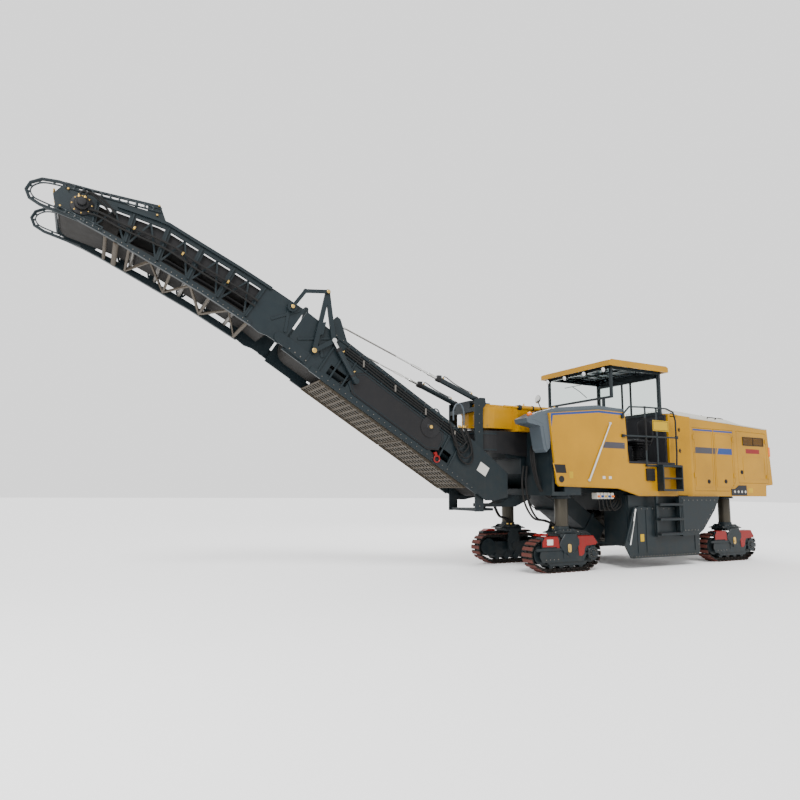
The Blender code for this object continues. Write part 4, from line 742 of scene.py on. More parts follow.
def make_body_trim():
    """Films, struts, seams, labels, lamps, louvres and latches on the panels, doors and rear wall."""
    face = HALF_WIDTH
    doors = {"door_front_left": (-1.306, -1.954), "door_rear_left": (-1.966, -2.614)}
    for side, tag in SIDE_NAMES.items():
        film(f"stripe_blue_front_{tag}", "blue", "chassis",
            [(0.70, 3.012), (1.34, 3.024), (2.515, 2.896), (2.53, 2.66), (2.50, 2.66), (2.47, 2.862),
            (1.34, 2.984), (0.70, 2.972)], side)
        film(f"stripe_grey_front_{tag}", "stripe", "chassis",
            [(0.68, 2.31), (1.26, 2.31), (1.19, 2.43), (0.68, 2.43)], side)
        top, foot = np.array((1.06, side * (face + 0.022), 2.79)), np.array((1.64, side * (face + 0.022), 1.69))
        ends = [boss([(0, 0.024), (0.012, 0.026), (0.034, 0.020), (0.038, 0.010)], p[0], face, p[2], side, 16)
            for p in (top, foot)]
        make(f"panel_struts_{tag}", "silver", "chassis", rod(top, foot, 0.013, 12),
            rod(top + (foot - top) * 0.42, foot, 0.018, 14), *ends)
        seam = plate([(0.60, 2.05), (0.61, 2.05), (0.61, 3.0), (0.60, 3.0)], face, face + 0.003, side, 0.001)
        slot_edge = plate([(2.50, 1.99), (2.44, 1.78), (2.14, 1.78), (2.18, 1.99)], face, face + 0.004, side,
            0.0015)
        slot_hole = plate([(2.47, 1.965), (2.425, 1.81), (2.18, 1.81), (2.21, 1.965)], face + 0.003,
            face + 0.006, side, 0.001)
        port = boss([(0, 0.062), (0.006, 0.062), (0.008, 0.050), (0.003, 0.046), (0.003, 0.01)], 2.30, face,
            1.70, side, 24)
        make(f"panel_seams_{tag}", "black", "chassis", seam, slot_hole, port)
        make(f"panel_slot_rims_{tag}", "yellow", "chassis", slot_edge)
        film(f"panel_label_yellow_{tag}", "label_yellow", "chassis", rounded(2.02, 2.11, 1.72, 1.84, 0.008),
            side)
        for k, (x, z) in enumerate(((1.22, 1.72), (1.06, 1.72))):
            film(f"panel_label_{k}_{tag}", "label", "chassis", rounded(x, x + 0.07, z, z + 0.05, 0.006), side)
        rim = np.array([(2.545, 2.885), (2.41, 1.65), (2.35, 1.60), (1.41, 1.575), (0.88, 1.565), (0.36, 1.43),
            (-0.74, 1.43)])
        path = at_y(rim, side * (face + 0.002))
        make(f"panel_rims_{tag}", "yellow", "chassis", sweep(path, strip(0.010, 0.003)))
        heads = np.concatenate([row((2.44, side * face, 2.2), (2.50, side * face, 2.75), 4),
            row((0.72, side * face, 2.15), (0.72, side * face, 2.9), 4),
            row((-0.70, side * face, 1.44), (0.28, side * face, 1.44), 6)])
        make(f"panel_bolts_{tag}", "steel", "chassis", bolts(heads, (0, side, 0), 0.009, 0.006))
        corner = [latch(-1.02, 2.78, side, face - 0.088), latch(-1.02, 2.34, side, face - 0.088)]
        make(f"house_corner_lamps_{tag}", "black", "chassis", *corner)
        tail = plate(rounded(-3.915, -3.845, 2.30, 2.52, 0.02), face, face + 0.008, side, 0.003)
        make(f"tail_lamps_{tag}", "amber", "chassis", tail)
        seam_rail = sweep(np.array([(-1.24, side * (face + 0.002), 3.045), (-2.4, side * (face + 0.002), 2.998),
            (-3.80, side * (face + 0.002), 2.925)]), strip(0.012, 0.004))
        make(f"house_rails_{tag}", "silver", "chassis", seam_rail)
        sill = plate([(-2.46, 1.42), (-2.98, 1.42), (-2.98, 1.64), (-2.72, 1.64), (-2.58, 1.56), (-2.46, 1.56)],
            face - 0.002, face + 0.012, side, 0.005)
        make(f"service_panels_{tag}", "charcoal", "chassis", sill)
        film(f"service_label_{tag}", "label_yellow", "chassis", rounded(-3.20, -3.05, 1.48, 1.58, 0.008), side)
        gauges = [boss([(0, 0.028), (0.006, 0.028), (0.008, 0.022), (0.008, 0.006)], x, face + 0.012, 1.50,
            side, 18) for x in (-2.56, -2.68, -2.80, -2.92)]
        make(f"service_gauges_{tag}", "silver", "chassis", *gauges)
    for name, (x0, x1) in doors.items():
        if name == "door_rear_left":
            film("door_rear_left_dash", "stripe", name, [(x0, 2.43), (x0 - 0.10, 2.43), (x0 - 0.06, 2.30),
                (x0, 2.30)], 1)
        film(f"{name}_blue", "blue", name, [(x0 - 0.01, 2.815), (x1 + 0.01, 2.815), (x1 + 0.01, 2.780),
            (x0 - 0.01, 2.780)], 1)
        key = "stripe" if name == "door_front_left" else "blue"
        reach = (x0 - 0.02, x1) if name == "door_front_left" else (x0 - 0.10, x1 + 0.06)
        film(f"{name}_stripe", key, name, [(reach[0] - 0.05, 2.43), (reach[1], 2.43), (reach[1], 2.30),
            (reach[0], 2.30)], 1)
        rim = rounded(x1 + 0.045, x0 - 0.045, 1.60, 2.755, 0.03)
        path = at_y(rim, face + 0.001)
        make(f"{name}_press", "yellow", name, sweep(path, strip(0.007, 0.003), loop=True))
    make("latches_front", "black", "door_front_left", latch(-1.75, 1.71, 1, face))
    make("latches_rear", "black", "door_rear_left", latch(-2.30, 1.72, 1, face))
    make("latches_intake", "black", "door_intake_left", latch(-2.86, 1.93, 1, face))
    make("latches_cooler", "black", "door_cooler_right", latch(-2.06, 1.93, -1, face))
    for name, side, x0, x1 in (("door_intake_left", 1, -3.66, -2.96), ("door_cooler_right", -1, -3.66, -2.16)):
        slats = [plate([(x0, z), (x1, z), (x1, z + 0.010), (x0, z + 0.010)], face - 0.001, face + 0.014, side,
            0.003) for z in np.linspace(2.545, 2.685, 9)]
        frame_bars = [plate([(x0 - 0.015, a), (x1 + 0.015, a), (x1 + 0.015, a + 0.014),
            (x0 - 0.015, a + 0.014)], face, face + 0.016, side, 0.003) for a in (2.525, 2.702)]
        posts = [plate([(a, 2.53), (a + 0.012, 2.53), (a + 0.012, 2.712), (a, 2.712)], face, face + 0.016, side,
            0.003) for a in (x0 - 0.014, (x0 + x1) / 2, x1 + 0.002)]
        make(f"{name}_louvres", "louvre", name, *slats)
        make(f"{name}_louvre_frame", "black", name, *frame_bars, *posts)
        film(f"{name}_badge", "red", name, rounded(-3.52, -3.04, 2.35, 2.45, 0.01), side)
        inner = rounded(x0 - 0.03, x1 + 0.03, 1.78, 2.28, 0.03)
        path = at_y(inner, side * (face + 0.001))
        make(f"{name}_press", "yellow", name, sweep(path, strip(0.007, 0.003), loop=True))
    tail_x = -3.94
    bars = [block(tail_x + 0.030 - 0.028 * (z - 1.9), tail_x + 0.055, -0.80, 0.80, z, z + 0.018, 0.004)
        for z in np.linspace(1.90, 2.60, 13)]
    make("tail_louvres", "black", "chassis", *bars)
    bumper = slab([(-3.70, 1.42), (-3.70, 1.62), (-3.90, 1.655), (-3.93, 1.60), (-3.76, 1.42)], -1.05, 1.05,
        "xz", 0.01)
    make("tail_bumper", "slate", "chassis", bumper)


def make_hood():
    """Raised ribs, seam lines, vents, the exhaust hump and lifting eyes on the engine lid."""
    stations = np.array([(-0.80, 3.15), (-1.20, 3.28), (-3.15, 3.16), (-3.46, 3.02)])
    body = "engine_hood"
    ribs = []
    for y in (-0.42, 0.42):
        path = np.stack([stations[1:3, 0], [y, y], stations[1:3, 1] + 0.004], 1)
        path = np.array(row(path[0], path[1], 8))
        ribs.append(sweep(path, disc((0, 0), 0.016, 8)))
    make("hood_ribs", "silver", body, *ribs)
    hump = []
    share = np.linspace(0, 1, 15)
    for t in share:
        x = -3.42 + 0.86 * t
        top = 3.165 + 0.075 * math.sin(math.pi * min(t * 1.15, 1.0)) - 0.10 * max(0, 0.25 - t) * 4 * 0.9
        across_y = np.linspace(-0.60, 0.60, 13)
        crown = top - 0.03 * (across_y / 0.6) ** 4
        loop = np.concatenate([np.stack([np.full(13, x), across_y, crown], 1),
            np.stack([np.full(2, x), [0.60, -0.60], np.full(2, 3.02 + 0.10 * min(t * 3, 1))], 1)])
        hump.append(loop)
    make("hood_hump", "column", body, loft(hump))
    vents = [slab(rounded(-1.60 - 0.07 * k, -1.56 - 0.07 * k, -0.24, 0.24, 0.012), 3.254 - 0.0043 * k,
        3.268 - 0.0043 * k, "xy", 0.003) for k in range(9)]
    make("hood_vents", "black", body, *vents)
    eyes = []
    for x, z in ((-1.34, 3.262), (-2.50, 3.196)):
        for y in (-0.55, 0.55):
            angle = np.linspace(0, np.pi, 9)
            eyes.append(tube(np.stack([x + 0.04 * np.cos(angle), np.full(9, y), z + 0.04 * np.sin(angle)], 1),
                0.008, 8, 2))
    make("hood_eyes", "slate", body, *eyes)
    edges = [sweep(np.array([(-0.84, side * 1.07, 3.128), (-1.20, side * 1.07, 3.068),
        (-2.2, side * 1.07, 3.022),
        (-3.15, side * 1.07, 2.974), (-3.44, side * 1.07, 2.958)]), disc((0, 0), 0.010, 8)) for side in SIDES]
    make("hood_seals", "rubber", body, *edges)
    make("hood_handles", "black", body, *(tube([(-2.1, s * 1.0, 3.10), (-2.1, s * 1.02, 3.125),
        (-2.35, s * 1.02, 3.118), (-2.35, s * 1.0, 3.09)], 0.010, 8, 4) for s in SIDES))


# --------------------------------------------------------- operator's stand
def make_stand():
    """Roof bows, gutter and lamps, wiper, rail joints, signs, vents, dials, levers, wheel and floor studs."""
    roof_high = 4.13
    bows = [sweep(np.array(row((-0.80, y, 4.072), (0.80, y, 4.072), 6)),
        [(-0.022, -0.010), (0.022, -0.010), (0.014, 0.008), (-0.014, 0.008)])
        for y in np.linspace(-0.92, 0.92, 7)]
    cross = [sweep(np.array(row((x, -1.0, 4.066), (x, 1.0, 4.066), 6)),
        [(-0.024, -0.012), (0.024, -0.012), (0.014, 0.010), (-0.014, 0.010)]) for x in (-0.52, 0.0, 0.46)]
    make("roof_bows", "slate", "chassis", *bows, *cross)
    make("roof_liner", "grey", "chassis", block(-0.815, 0.815, -1.025, 1.025, 4.070, 4.0785, 0.002))
    gutter = rounded(-0.84, 0.84, -1.05, 1.05, 0.05)
    path = np.stack([gutter[:, 0], gutter[:, 1], np.full(len(gutter), roof_high - 0.026)], 1)
    make("roof_gutter", "yellow", "chassis", sweep(path, disc((0, 0), 0.011, 8), loop=True))
    lights = []
    lens = []
    for y in (-0.86, -0.30, 0.30, 0.86):
        lights.append(turned([(0, 0.030), (0.03, 0.052), (0.075, 0.056), (0.080, 0.050)], (0.745, y, 3.955),
            (1, 0, -0.25), 20))
        lens.append(turned([(0.0, 0.049), (0.006, 0.040), (0.009, 0.01)], (0.822, y, 3.936), (1, 0, -0.25), 20))
    make("roof_lamp_bodies", "black", "chassis", *lights)
    make("roof_lamp_lenses", "lamp", "chassis", *lens)
    wiper = [tube([(0.712, 0.25, 3.44), (0.716, 0.05, 3.60), (0.714, -0.18, 3.74)], 0.008, 6, 3),
        block(0.709, 0.717, -0.42, 0.10, 3.735, 3.748, 0.002)]
    make("wiper", "rubber", "chassis", *wiper)
    rear_stays = [rod((-0.72, s * 0.87, 3.13), (-0.72, s * 0.87, 3.99), 0.020, 12) for s in SIDES]
    make("canopy_stays", "slate", "chassis", *rear_stays)
    for side, tag in SIDE_NAMES.items():
        y = HALF_WIDTH + 0.03
        posts = [(0.12, 3.17), (-0.20, 3.17), (0.12, 2.58), (-0.20, 2.58), (-0.76, 2.59)]
        knots = [turned([(0, 0.020), (0.006, 0.026), (0.034, 0.026), (0.040, 0.020)], (x, side * y, z - 0.02),
            (0, 0, 1), 14) for x, z in posts]
        make(f"rail_joints_{tag}", "slate", "chassis", *knots)
        grip = tube([(0.12, side * (y + 0.002), 2.30), (0.12, side * (y + 0.002), 2.95)], 0.0225, 12, 2)
        make(f"rail_grips_{tag}", "rubber", "chassis", grip)
        sign = plate(rounded(-0.52, -0.06, 2.70, 2.92, 0.012), y + 0.019, y + 0.024, side, 0.001)
        make(f"rail_sign_{tag}", "label_yellow", "chassis", sign)
        border = rounded(-0.50, -0.08, 2.72, 2.90, 0.01)
        path = at_y(border, side * (y + 0.0245))
        make(f"rail_sign_border_{tag}", "black", "chassis", sweep(path, strip(0.004, 0.001), loop=True))
        vent = block(-0.09, 0.13, *across(HALF_WIDTH + 0.001, HALF_WIDTH + 0.035, side), 1.70, 1.94, 0.008)
        fins = [block(-0.07, 0.11, *across(HALF_WIDTH + 0.030, HALF_WIDTH + 0.044, side), z, z + 0.012, 0.003)
            for z in np.linspace(1.73, 1.90, 7)]
        make(f"vent_boxes_{tag}", "black", "chassis", vent, *fins)
        tread = perforated((-0.74, side * (HALF_WIDTH + 0.01), 2.024), (0.54, 0, 0), (0, side * 0.14, 0), 14, 4,
            (0.34, 0.34))
        make(f"step_grips_{tag}", "charcoal", "chassis", tread, wall=0.004)
    board = [(0.232, 2.924), (0.436, 3.083)]
    dials, levers = [], []
    for y in (-0.55, 0.0, 0.50):
        for k in range(4):
            for j in range(2):
                share = 0.24 + 0.5 * j
                x = board[0][0] + share * 0.204
                z = board[0][1] + share * 0.159
                dials.append(turned([(0, 0.022), (0.008, 0.022), (0.010, 0.017), (0.010, 0.004)],
                    (x, y - 0.12 + 0.08 * k, z), (-0.61, 0, 0.79), 16))
        levers.append(tube([(0.30, y + 0.22, 2.97), (0.275, y + 0.22, 3.03), (0.26, y + 0.22, 3.10)], 0.007, 8,
            3))
        levers.append(turned([(0, 0.006), (0.010, 0.018), (0.034, 0.020), (0.046, 0.008)],
            (0.262, y + 0.22, 3.09), (-0.2, 0, 1), 14))
    make("console_dials", "silver", "chassis", *dials)
    make("console_levers", "rubber", "chassis", *levers)
    screen = slab([(-0.12, 0), (0.12, 0), (0.12, 0.15), (-0.12, 0.15)], 0, 0.02, "yz", 0.005)
    screen = (screen[0] + (0.40, -0.25, 3.09), screen[1], screen[2])
    make("console_screen", "black", "chassis", screen)
    angle = angles(40)
    frame_axes = basis((-0.64, 0, 0.77))
    ring = (0.165 * np.cos(angle))[:, None] * frame_axes[:,
        0] + (0.165 * np.sin(angle))[:, None] * frame_axes[:, 1]
    wheel = sweep(ring + np.array((0.142, 0.45, 3.040)), disc((0, 0), 0.014, 10), loop=True)
    spokes = [rod((0.142, 0.45, 3.040), np.array((0.142, 0.45, 3.040)) + ring[k], 0.010, 8)
        for k in (0, 13, 27)]
    make("steering_wheel", "rubber", "chassis", wheel, *spokes)
    floor_studs = np.stack(np.meshgrid(np.arange(-0.68, 0.16, 0.07), np.arange(-1.08, 1.09, 0.09), [2.081]),
        -1).reshape(-1, 3)
    make("floor_studs", "charcoal", "chassis", copies(turned([(0, 0.014), (0.004, 0.009)], (0, 0, 0), (0, 0, 1),
        6), floor_studs))


def cushion(centre, half_x, half_y, thick, crown, lean=0.0, channels=0):
    """A padded form: over latitude v and longitude u the plan is a superellipse of power 4,
    the height a superellipse of power 2.6, and the top swells by the crown times
    (1 - x^2)(1 - y^2), less a sewn channel's dip at each seam."""
    u = angles(64)
    v = np.linspace(-np.pi / 2, np.pi / 2, 25)
    power = lambda a, n: np.sign(a) * np.abs(a) ** (2 / n)
    plan_x, plan_y = power(np.cos(u), 4.5), power(np.sin(u), 4.5)
    ring, rise = power(np.cos(v), 3.2), power(np.sin(v), 2.6)
    x, y = ring[:, None] * plan_x[None], ring[:, None] * plan_y[None]
    z = rise[:, None] * thick / 2 * np.ones_like(x)
    swell = crown * np.clip(1 - x ** 2, 0, 1) * np.clip(1 - y ** 2, 0, 1) * np.clip(rise, 0, 1)[:, None]
    dip = np.zeros_like(x)
    for k in range(channels):
        at = (k + 1) / (channels + 1) * 2 - 1
        dip += 0.010 * np.exp(-((x - at * 0.8) / 0.045) ** 2) * np.clip(rise, 0, 1)[:, None]
    local = np.stack([x * half_x, y * half_y, z + swell - dip], -1)
    c, s = math.cos(lean), math.sin(lean)
    turn = np.array([[c, 0, s], [0, 1, 0], [-s, 0, c]])
    return loft(local @ turn.T + np.asarray(centre, float))


def piping(centre, half_x, half_y, lean=0.0, lift=0.0):
    """The welt round a cushion: a superellipse of power 4.5 carried round its widest line."""
    u = angles(64)
    power = lambda a, n: np.sign(a) * np.abs(a) ** (2 / n)
    local = np.stack([power(np.cos(u), 4.5) * half_x, power(np.sin(u), 4.5) * half_y, np.full(64, lift)], 1)
    c, s = math.cos(lean), math.sin(lean)
    turn = np.array([[c, 0, s], [0, 1, 0], [-s, 0, c]])
    return sweep(local @ turn.T + np.asarray(centre, float), disc((0, 0), 0.005, 6), loop=True)


def make_seats():
    """Padded bases and backs with sewn channels and piping, on bellows pedestals and slides."""
    lean = math.radians(-84)
    for side, tag in SIDE_NAMES.items():
        y = side * 0.66
        base = make(f"seat_base_{tag}", "vinyl", "chassis",
            cushion((-0.27, y, 2.525), 0.225, 0.215, 0.085, 0.018, 0.0, 3), smooth=80)
        back = make(f"seat_back_{tag}", "vinyl", "chassis",
            cushion((-0.535, y, 2.785), 0.215, 0.205, 0.075, 0.012, lean, 3), smooth=80)
        make(f"seat_piping_{tag}", "rubber", "chassis", piping((-0.27, y, 2.525), 0.226, 0.216),
            piping((-0.535, y, 2.785), 0.216, 0.206, lean))
        pan = block(-0.47, -0.07, y - 0.19, y + 0.19, 2.455, 2.482, 0.01)
        folds = [(0.02 * k, 0.115 if k % 2 else 0.095) for k in range(17)]
        bellows = turned([(a, r) for a, r in folds], (-0.27, y, 2.135), (0, 0, 1), 24)
        rails = [block(-0.44, -0.10, y + b - 0.02, y + b + 0.02, 2.0815, 2.132, 0.006) for b in (-0.13, 0.13)]
        hinge = [rod((-0.49, y + b, 2.50), (-0.555, y + b, 2.60), 0.018, 10) for b in (-0.17, 0.17)]
        made = make(f"seat_frame_{tag}", "black", "chassis", pan, bellows, *rails, *hinge)
        if side == 1:
            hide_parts("seats")


# ------------------------------------------------------------ nose and hopper
def nose_arc(radius, z, angle):
    """Points at these angles and this height round the slewing nose's upright axis."""
    return np.stack([3.20 + radius * np.cos(angle), radius * np.sin(angle), np.full(len(angle), z)], 1)


def make_nose():
    """Bolts, bands and fittings of the slewing nose, front hood trim, hopper hoops and valve gear."""
    body = "chassis"
    heads = row((1.85, 0.581, 2.66), (2.72, 0.581, 2.66), 9)
    left = bolts(heads, (0, 1, 0), 0.011)
    right = bolts(heads * (1, -1, 1), (0, -1, 0), 0.011)
    angle = np.radians(np.arange(-70, 71, 20))
    ring = nose_arc(0.401, 2.70, angle)
    nose = joined(*(bolts([p], (math.cos(a), math.sin(a), 0), 0.011) for p, a in zip(ring, angle)))
    make("nose_bolts", "steel", body, left, right, nose)
    make("nose_triangles", "red", body, *(plate([(2.30, 2.78), (2.46, 2.78), (2.38, 2.92)], 0.5802, 0.583, s,
        0.0008) for s in SIDES))
    round_nose = np.radians(np.arange(-90, 91, 6))
    make("nose_band", "yellow", body, sweep(nose_arc(0.402, 3.085, round_nose), strip(0.004, 0.012)))
    for side, tag in SIDE_NAMES.items():
        gland = turned([(0, 0.052), (0.03, 0.052), (0.035, 0.044), (0.06, 0.042), (0.064, 0.03)],
            (2.84, side * 0.74, 3.03), (1, 0, 0), 24)
        clamps = [turned([(0, 0.048), (0.002, 0.052), (0.028, 0.052), (0.030, 0.048)], (x, side * 0.74, 3.03),
            (1, 0, 0), 24) for x in (2.10, 2.55)]
        make(f"slew_cylinder_bands_{tag}", "slate", body, gland, *clamps)
        make(f"slew_cylinder_ports_{tag}", "gold", body,
            *(turned([(0, 0.016), (0.02, 0.016), (0.022, 0.012), (0.036, 0.012), (0.038, 0.006)],
            (x, side * 0.74, 3.072), (0, 0, 1), 12) for x in (2.02, 2.76)))
        mirror_y = side * 1.05
        make(f"hood_mirrors_{tag}", "black", body,
            tube([(2.55, mirror_y, 2.92), (2.62, mirror_y, 3.02), (2.66, mirror_y, 3.10)], 0.010, 8, 4),
            turned([(0, 0.02), (0.008, 0.070), (0.022, 0.078), (0.026, 0.072)], (2.655, mirror_y, 3.16),
            (1, 0, 0.1), 28))
        make(f"hood_mirror_glass_{tag}", "chrome", body,
            turned([(0, 0.072), (0.003, 0.066), (0.004, 0.01)], (2.681, mirror_y, 3.1626), (1, 0, 0.1), 28))
        make(f"front_lamps_{tag}", "lamp", body,
            turned([(0, 0.060), (0.010, 0.058), (0.018, 0.042), (0.022, 0.01)], (2.70, side * 1.02, 2.62),
            (1, 0, -0.25), 24),
            turned([(0, 0.050), (0.010, 0.048), (0.016, 0.034), (0.020, 0.01)], (2.64, side * 1.02, 2.40),
            (1, 0, -0.2), 24))
        make(f"turn_lamps_{tag}", "amber", body,
            turned([(0, 0.052), (0.02, 0.052), (0.045, 0.038), (0.052, 0.01)], (2.90, side * 1.09, 2.852),
            (0.35, 0, 1), 24))
        ear = plate([(2.46, 2.86), (2.52, 2.26), (2.56, 2.22), (2.60, 2.26), (2.68, 2.70), (2.92, 2.77),
            (2.78, 2.86)], HALF_WIDTH - SKIN_GAP, HALF_WIDTH - SKIN_GAP + 0.010, side)
        make(f"hood_cheeks_{tag}", "grey", body, ear)
    make("beacon", "amber", body, turned([(0, 0.055), (0.05, 0.055), (0.085, 0.046), (0.10, 0.025),
        (0.104, 0.006)], (1.2, 0.0, 3.13), (0, 0, 1), 24))
    make("beacon_base", "black", body, turned([(0, 0.07), (0.018, 0.066), (0.020, 0.05)], (1.2, 0.0, 3.115),
        (0, 0, 1), 24))
    seam = [sweep(np.array([(0.9, y, 3.118), (1.35, y, 3.134), (2.33, y, 3.024), (2.74, y, 2.92)]),
        strip(0.004, 0.004)) for y in (-0.86, 0.86)]
    make("front_hood_seams", "black", body, *seam)
    for k, z in enumerate((2.24, 2.54)):
        make(f"hopper_hoops_{k}", "slate", body, sweep(nose_arc(0.474, z, round_nose), strip(0.006, 0.014)))
    for side, tag in SIDE_NAMES.items():
        lines = [tube([(2.50, side * (0.70 + 0.05 * k), 2.40 - 0.06 * k), (2.62, side * (0.74 + 0.05 * k), 2.2),
            (2.60, side * (0.80 + 0.04 * k), 1.8), (2.50, side * (0.84 + 0.03 * k), 1.5),
            (2.30, side * (0.86 + 0.03 * k), 1.36)], 0.016, 8) for k in range(3)]
        make(f"front_hoses_{tag}", "rubber", body, *lines)
        valve = [block(0.92 + 0.09 * k, 0.99 + 0.09 * k, *across(0.98, 1.12, side), 1.34, 1.46, 0.008)
            for k in range(5)]
        make(f"valve_blocks_{tag}", "silver", body, *valve)
        caps = [boss([(0, 0.022), (0.03, 0.022), (0.034, 0.014), (0.05, 0.012), (0.052, 0.006)],
            0.955 + 0.09 * k, 1.12, 1.39, side, 12) for k in range(5)]
        for k, cap in enumerate(caps):
            make(f"valve_caps_{k}_{tag}", ("amber", "blue", "gold", "blue", "amber")[k], body, cap)
        runs = [tube([(0.95 + 0.1 * k, side * 1.05, 1.34), (0.93 + 0.1 * k, side * 1.05, 1.22),
            (0.80 + 0.12 * k, side * 1.0, 1.12),
            (0.60 + 0.1 * k, side * 0.98, 1.20), (0.56 + 0.04 * k, side * 0.94, 1.36)], 0.014, 8)
            for k in range(4)]
        make(f"valve_hoses_{tag}", "rubber", body, *runs)
        flanges = [turned([(0, 0.19), (0.004, 0.20), (0.026, 0.20), (0.03, 0.19), (0.03, 0.135)],
            (axle, side * TRACK_Y, 1.352), (0, 0, 1), 32) for axle in AXLES.values()]
        make(f"column_flanges_{tag}", "slate", body, *flanges)


# ---------------------------------------------------------------- conveyors
def boom_line(u0, v0, u1, v1, y, count=2):
    """Places in a row between two points of the conveyor's own side view."""
    a, b = boom(u0, v0), boom(u1, v1)
    return row((a[0], y, a[1]), (b[0], y, b[1]), count)


def boom_slab(corners, low, high, side, edge=0.004):
    """A plate whose corners are given in the conveyor's own side view."""
    return plate([boom(u, v) for u, v in corners], low, high, side, edge)


LOWER_EDGE = np.array([(7.88, 4.00), (8.65, 4.41), (9.37, 4.75), (10.04, 5.06), (10.50, 5.25)])
UPPER_EDGE = np.array([(7.50, 4.62), (8.07, 4.90), (8.69, 5.18), (9.19, 5.41), (10.50, 5.62)])


def outer_at(share, height):
    """A side-view point of the outer section: shares of its length along both edges, then between them."""
    share = np.asarray(share, float)
    low_x = LOWER_EDGE[0, 0] + share * (LOWER_EDGE[-1, 0] - LOWER_EDGE[0, 0])
    high_x = UPPER_EDGE[0, 0] + share * (UPPER_EDGE[-1, 0] - UPPER_EDGE[0, 0])
    low = np.stack([low_x, np.interp(low_x, LOWER_EDGE[:, 0], LOWER_EDGE[:, 1])], -1)
    high = np.stack([high_x, np.interp(high_x, UPPER_EDGE[:, 0], UPPER_EDGE[:, 1])], -1)
    return low + (high - low) * height


def slotted(start, end, width, count, y):
    """A flat bar with long holes: one row of perforated cells, stretched along the bar."""
    start, end = np.asarray(start, float), np.asarray(end, float)
    along = end - start
    square = unit(np.array((-along[1], along[0])))
    corner = start - square * width / 2
    return perforated((corner[0], y, corner[1]), (along[0], 0, along[1]),
        (square[0] * width, 0, square[1] * width), count, 1, (0.40, 0.22))


def bar(a, b, width, low, high, side, edge=0.003):
    """A flat bar between two side-view points."""
    a, b = np.asarray(a, float), np.asarray(b, float)
    along = unit(b - a)
    square = np.array((-along[1], along[0])) * width / 2
    return plate([a - square, b - square, b + square, a + square], low, high, side, edge)


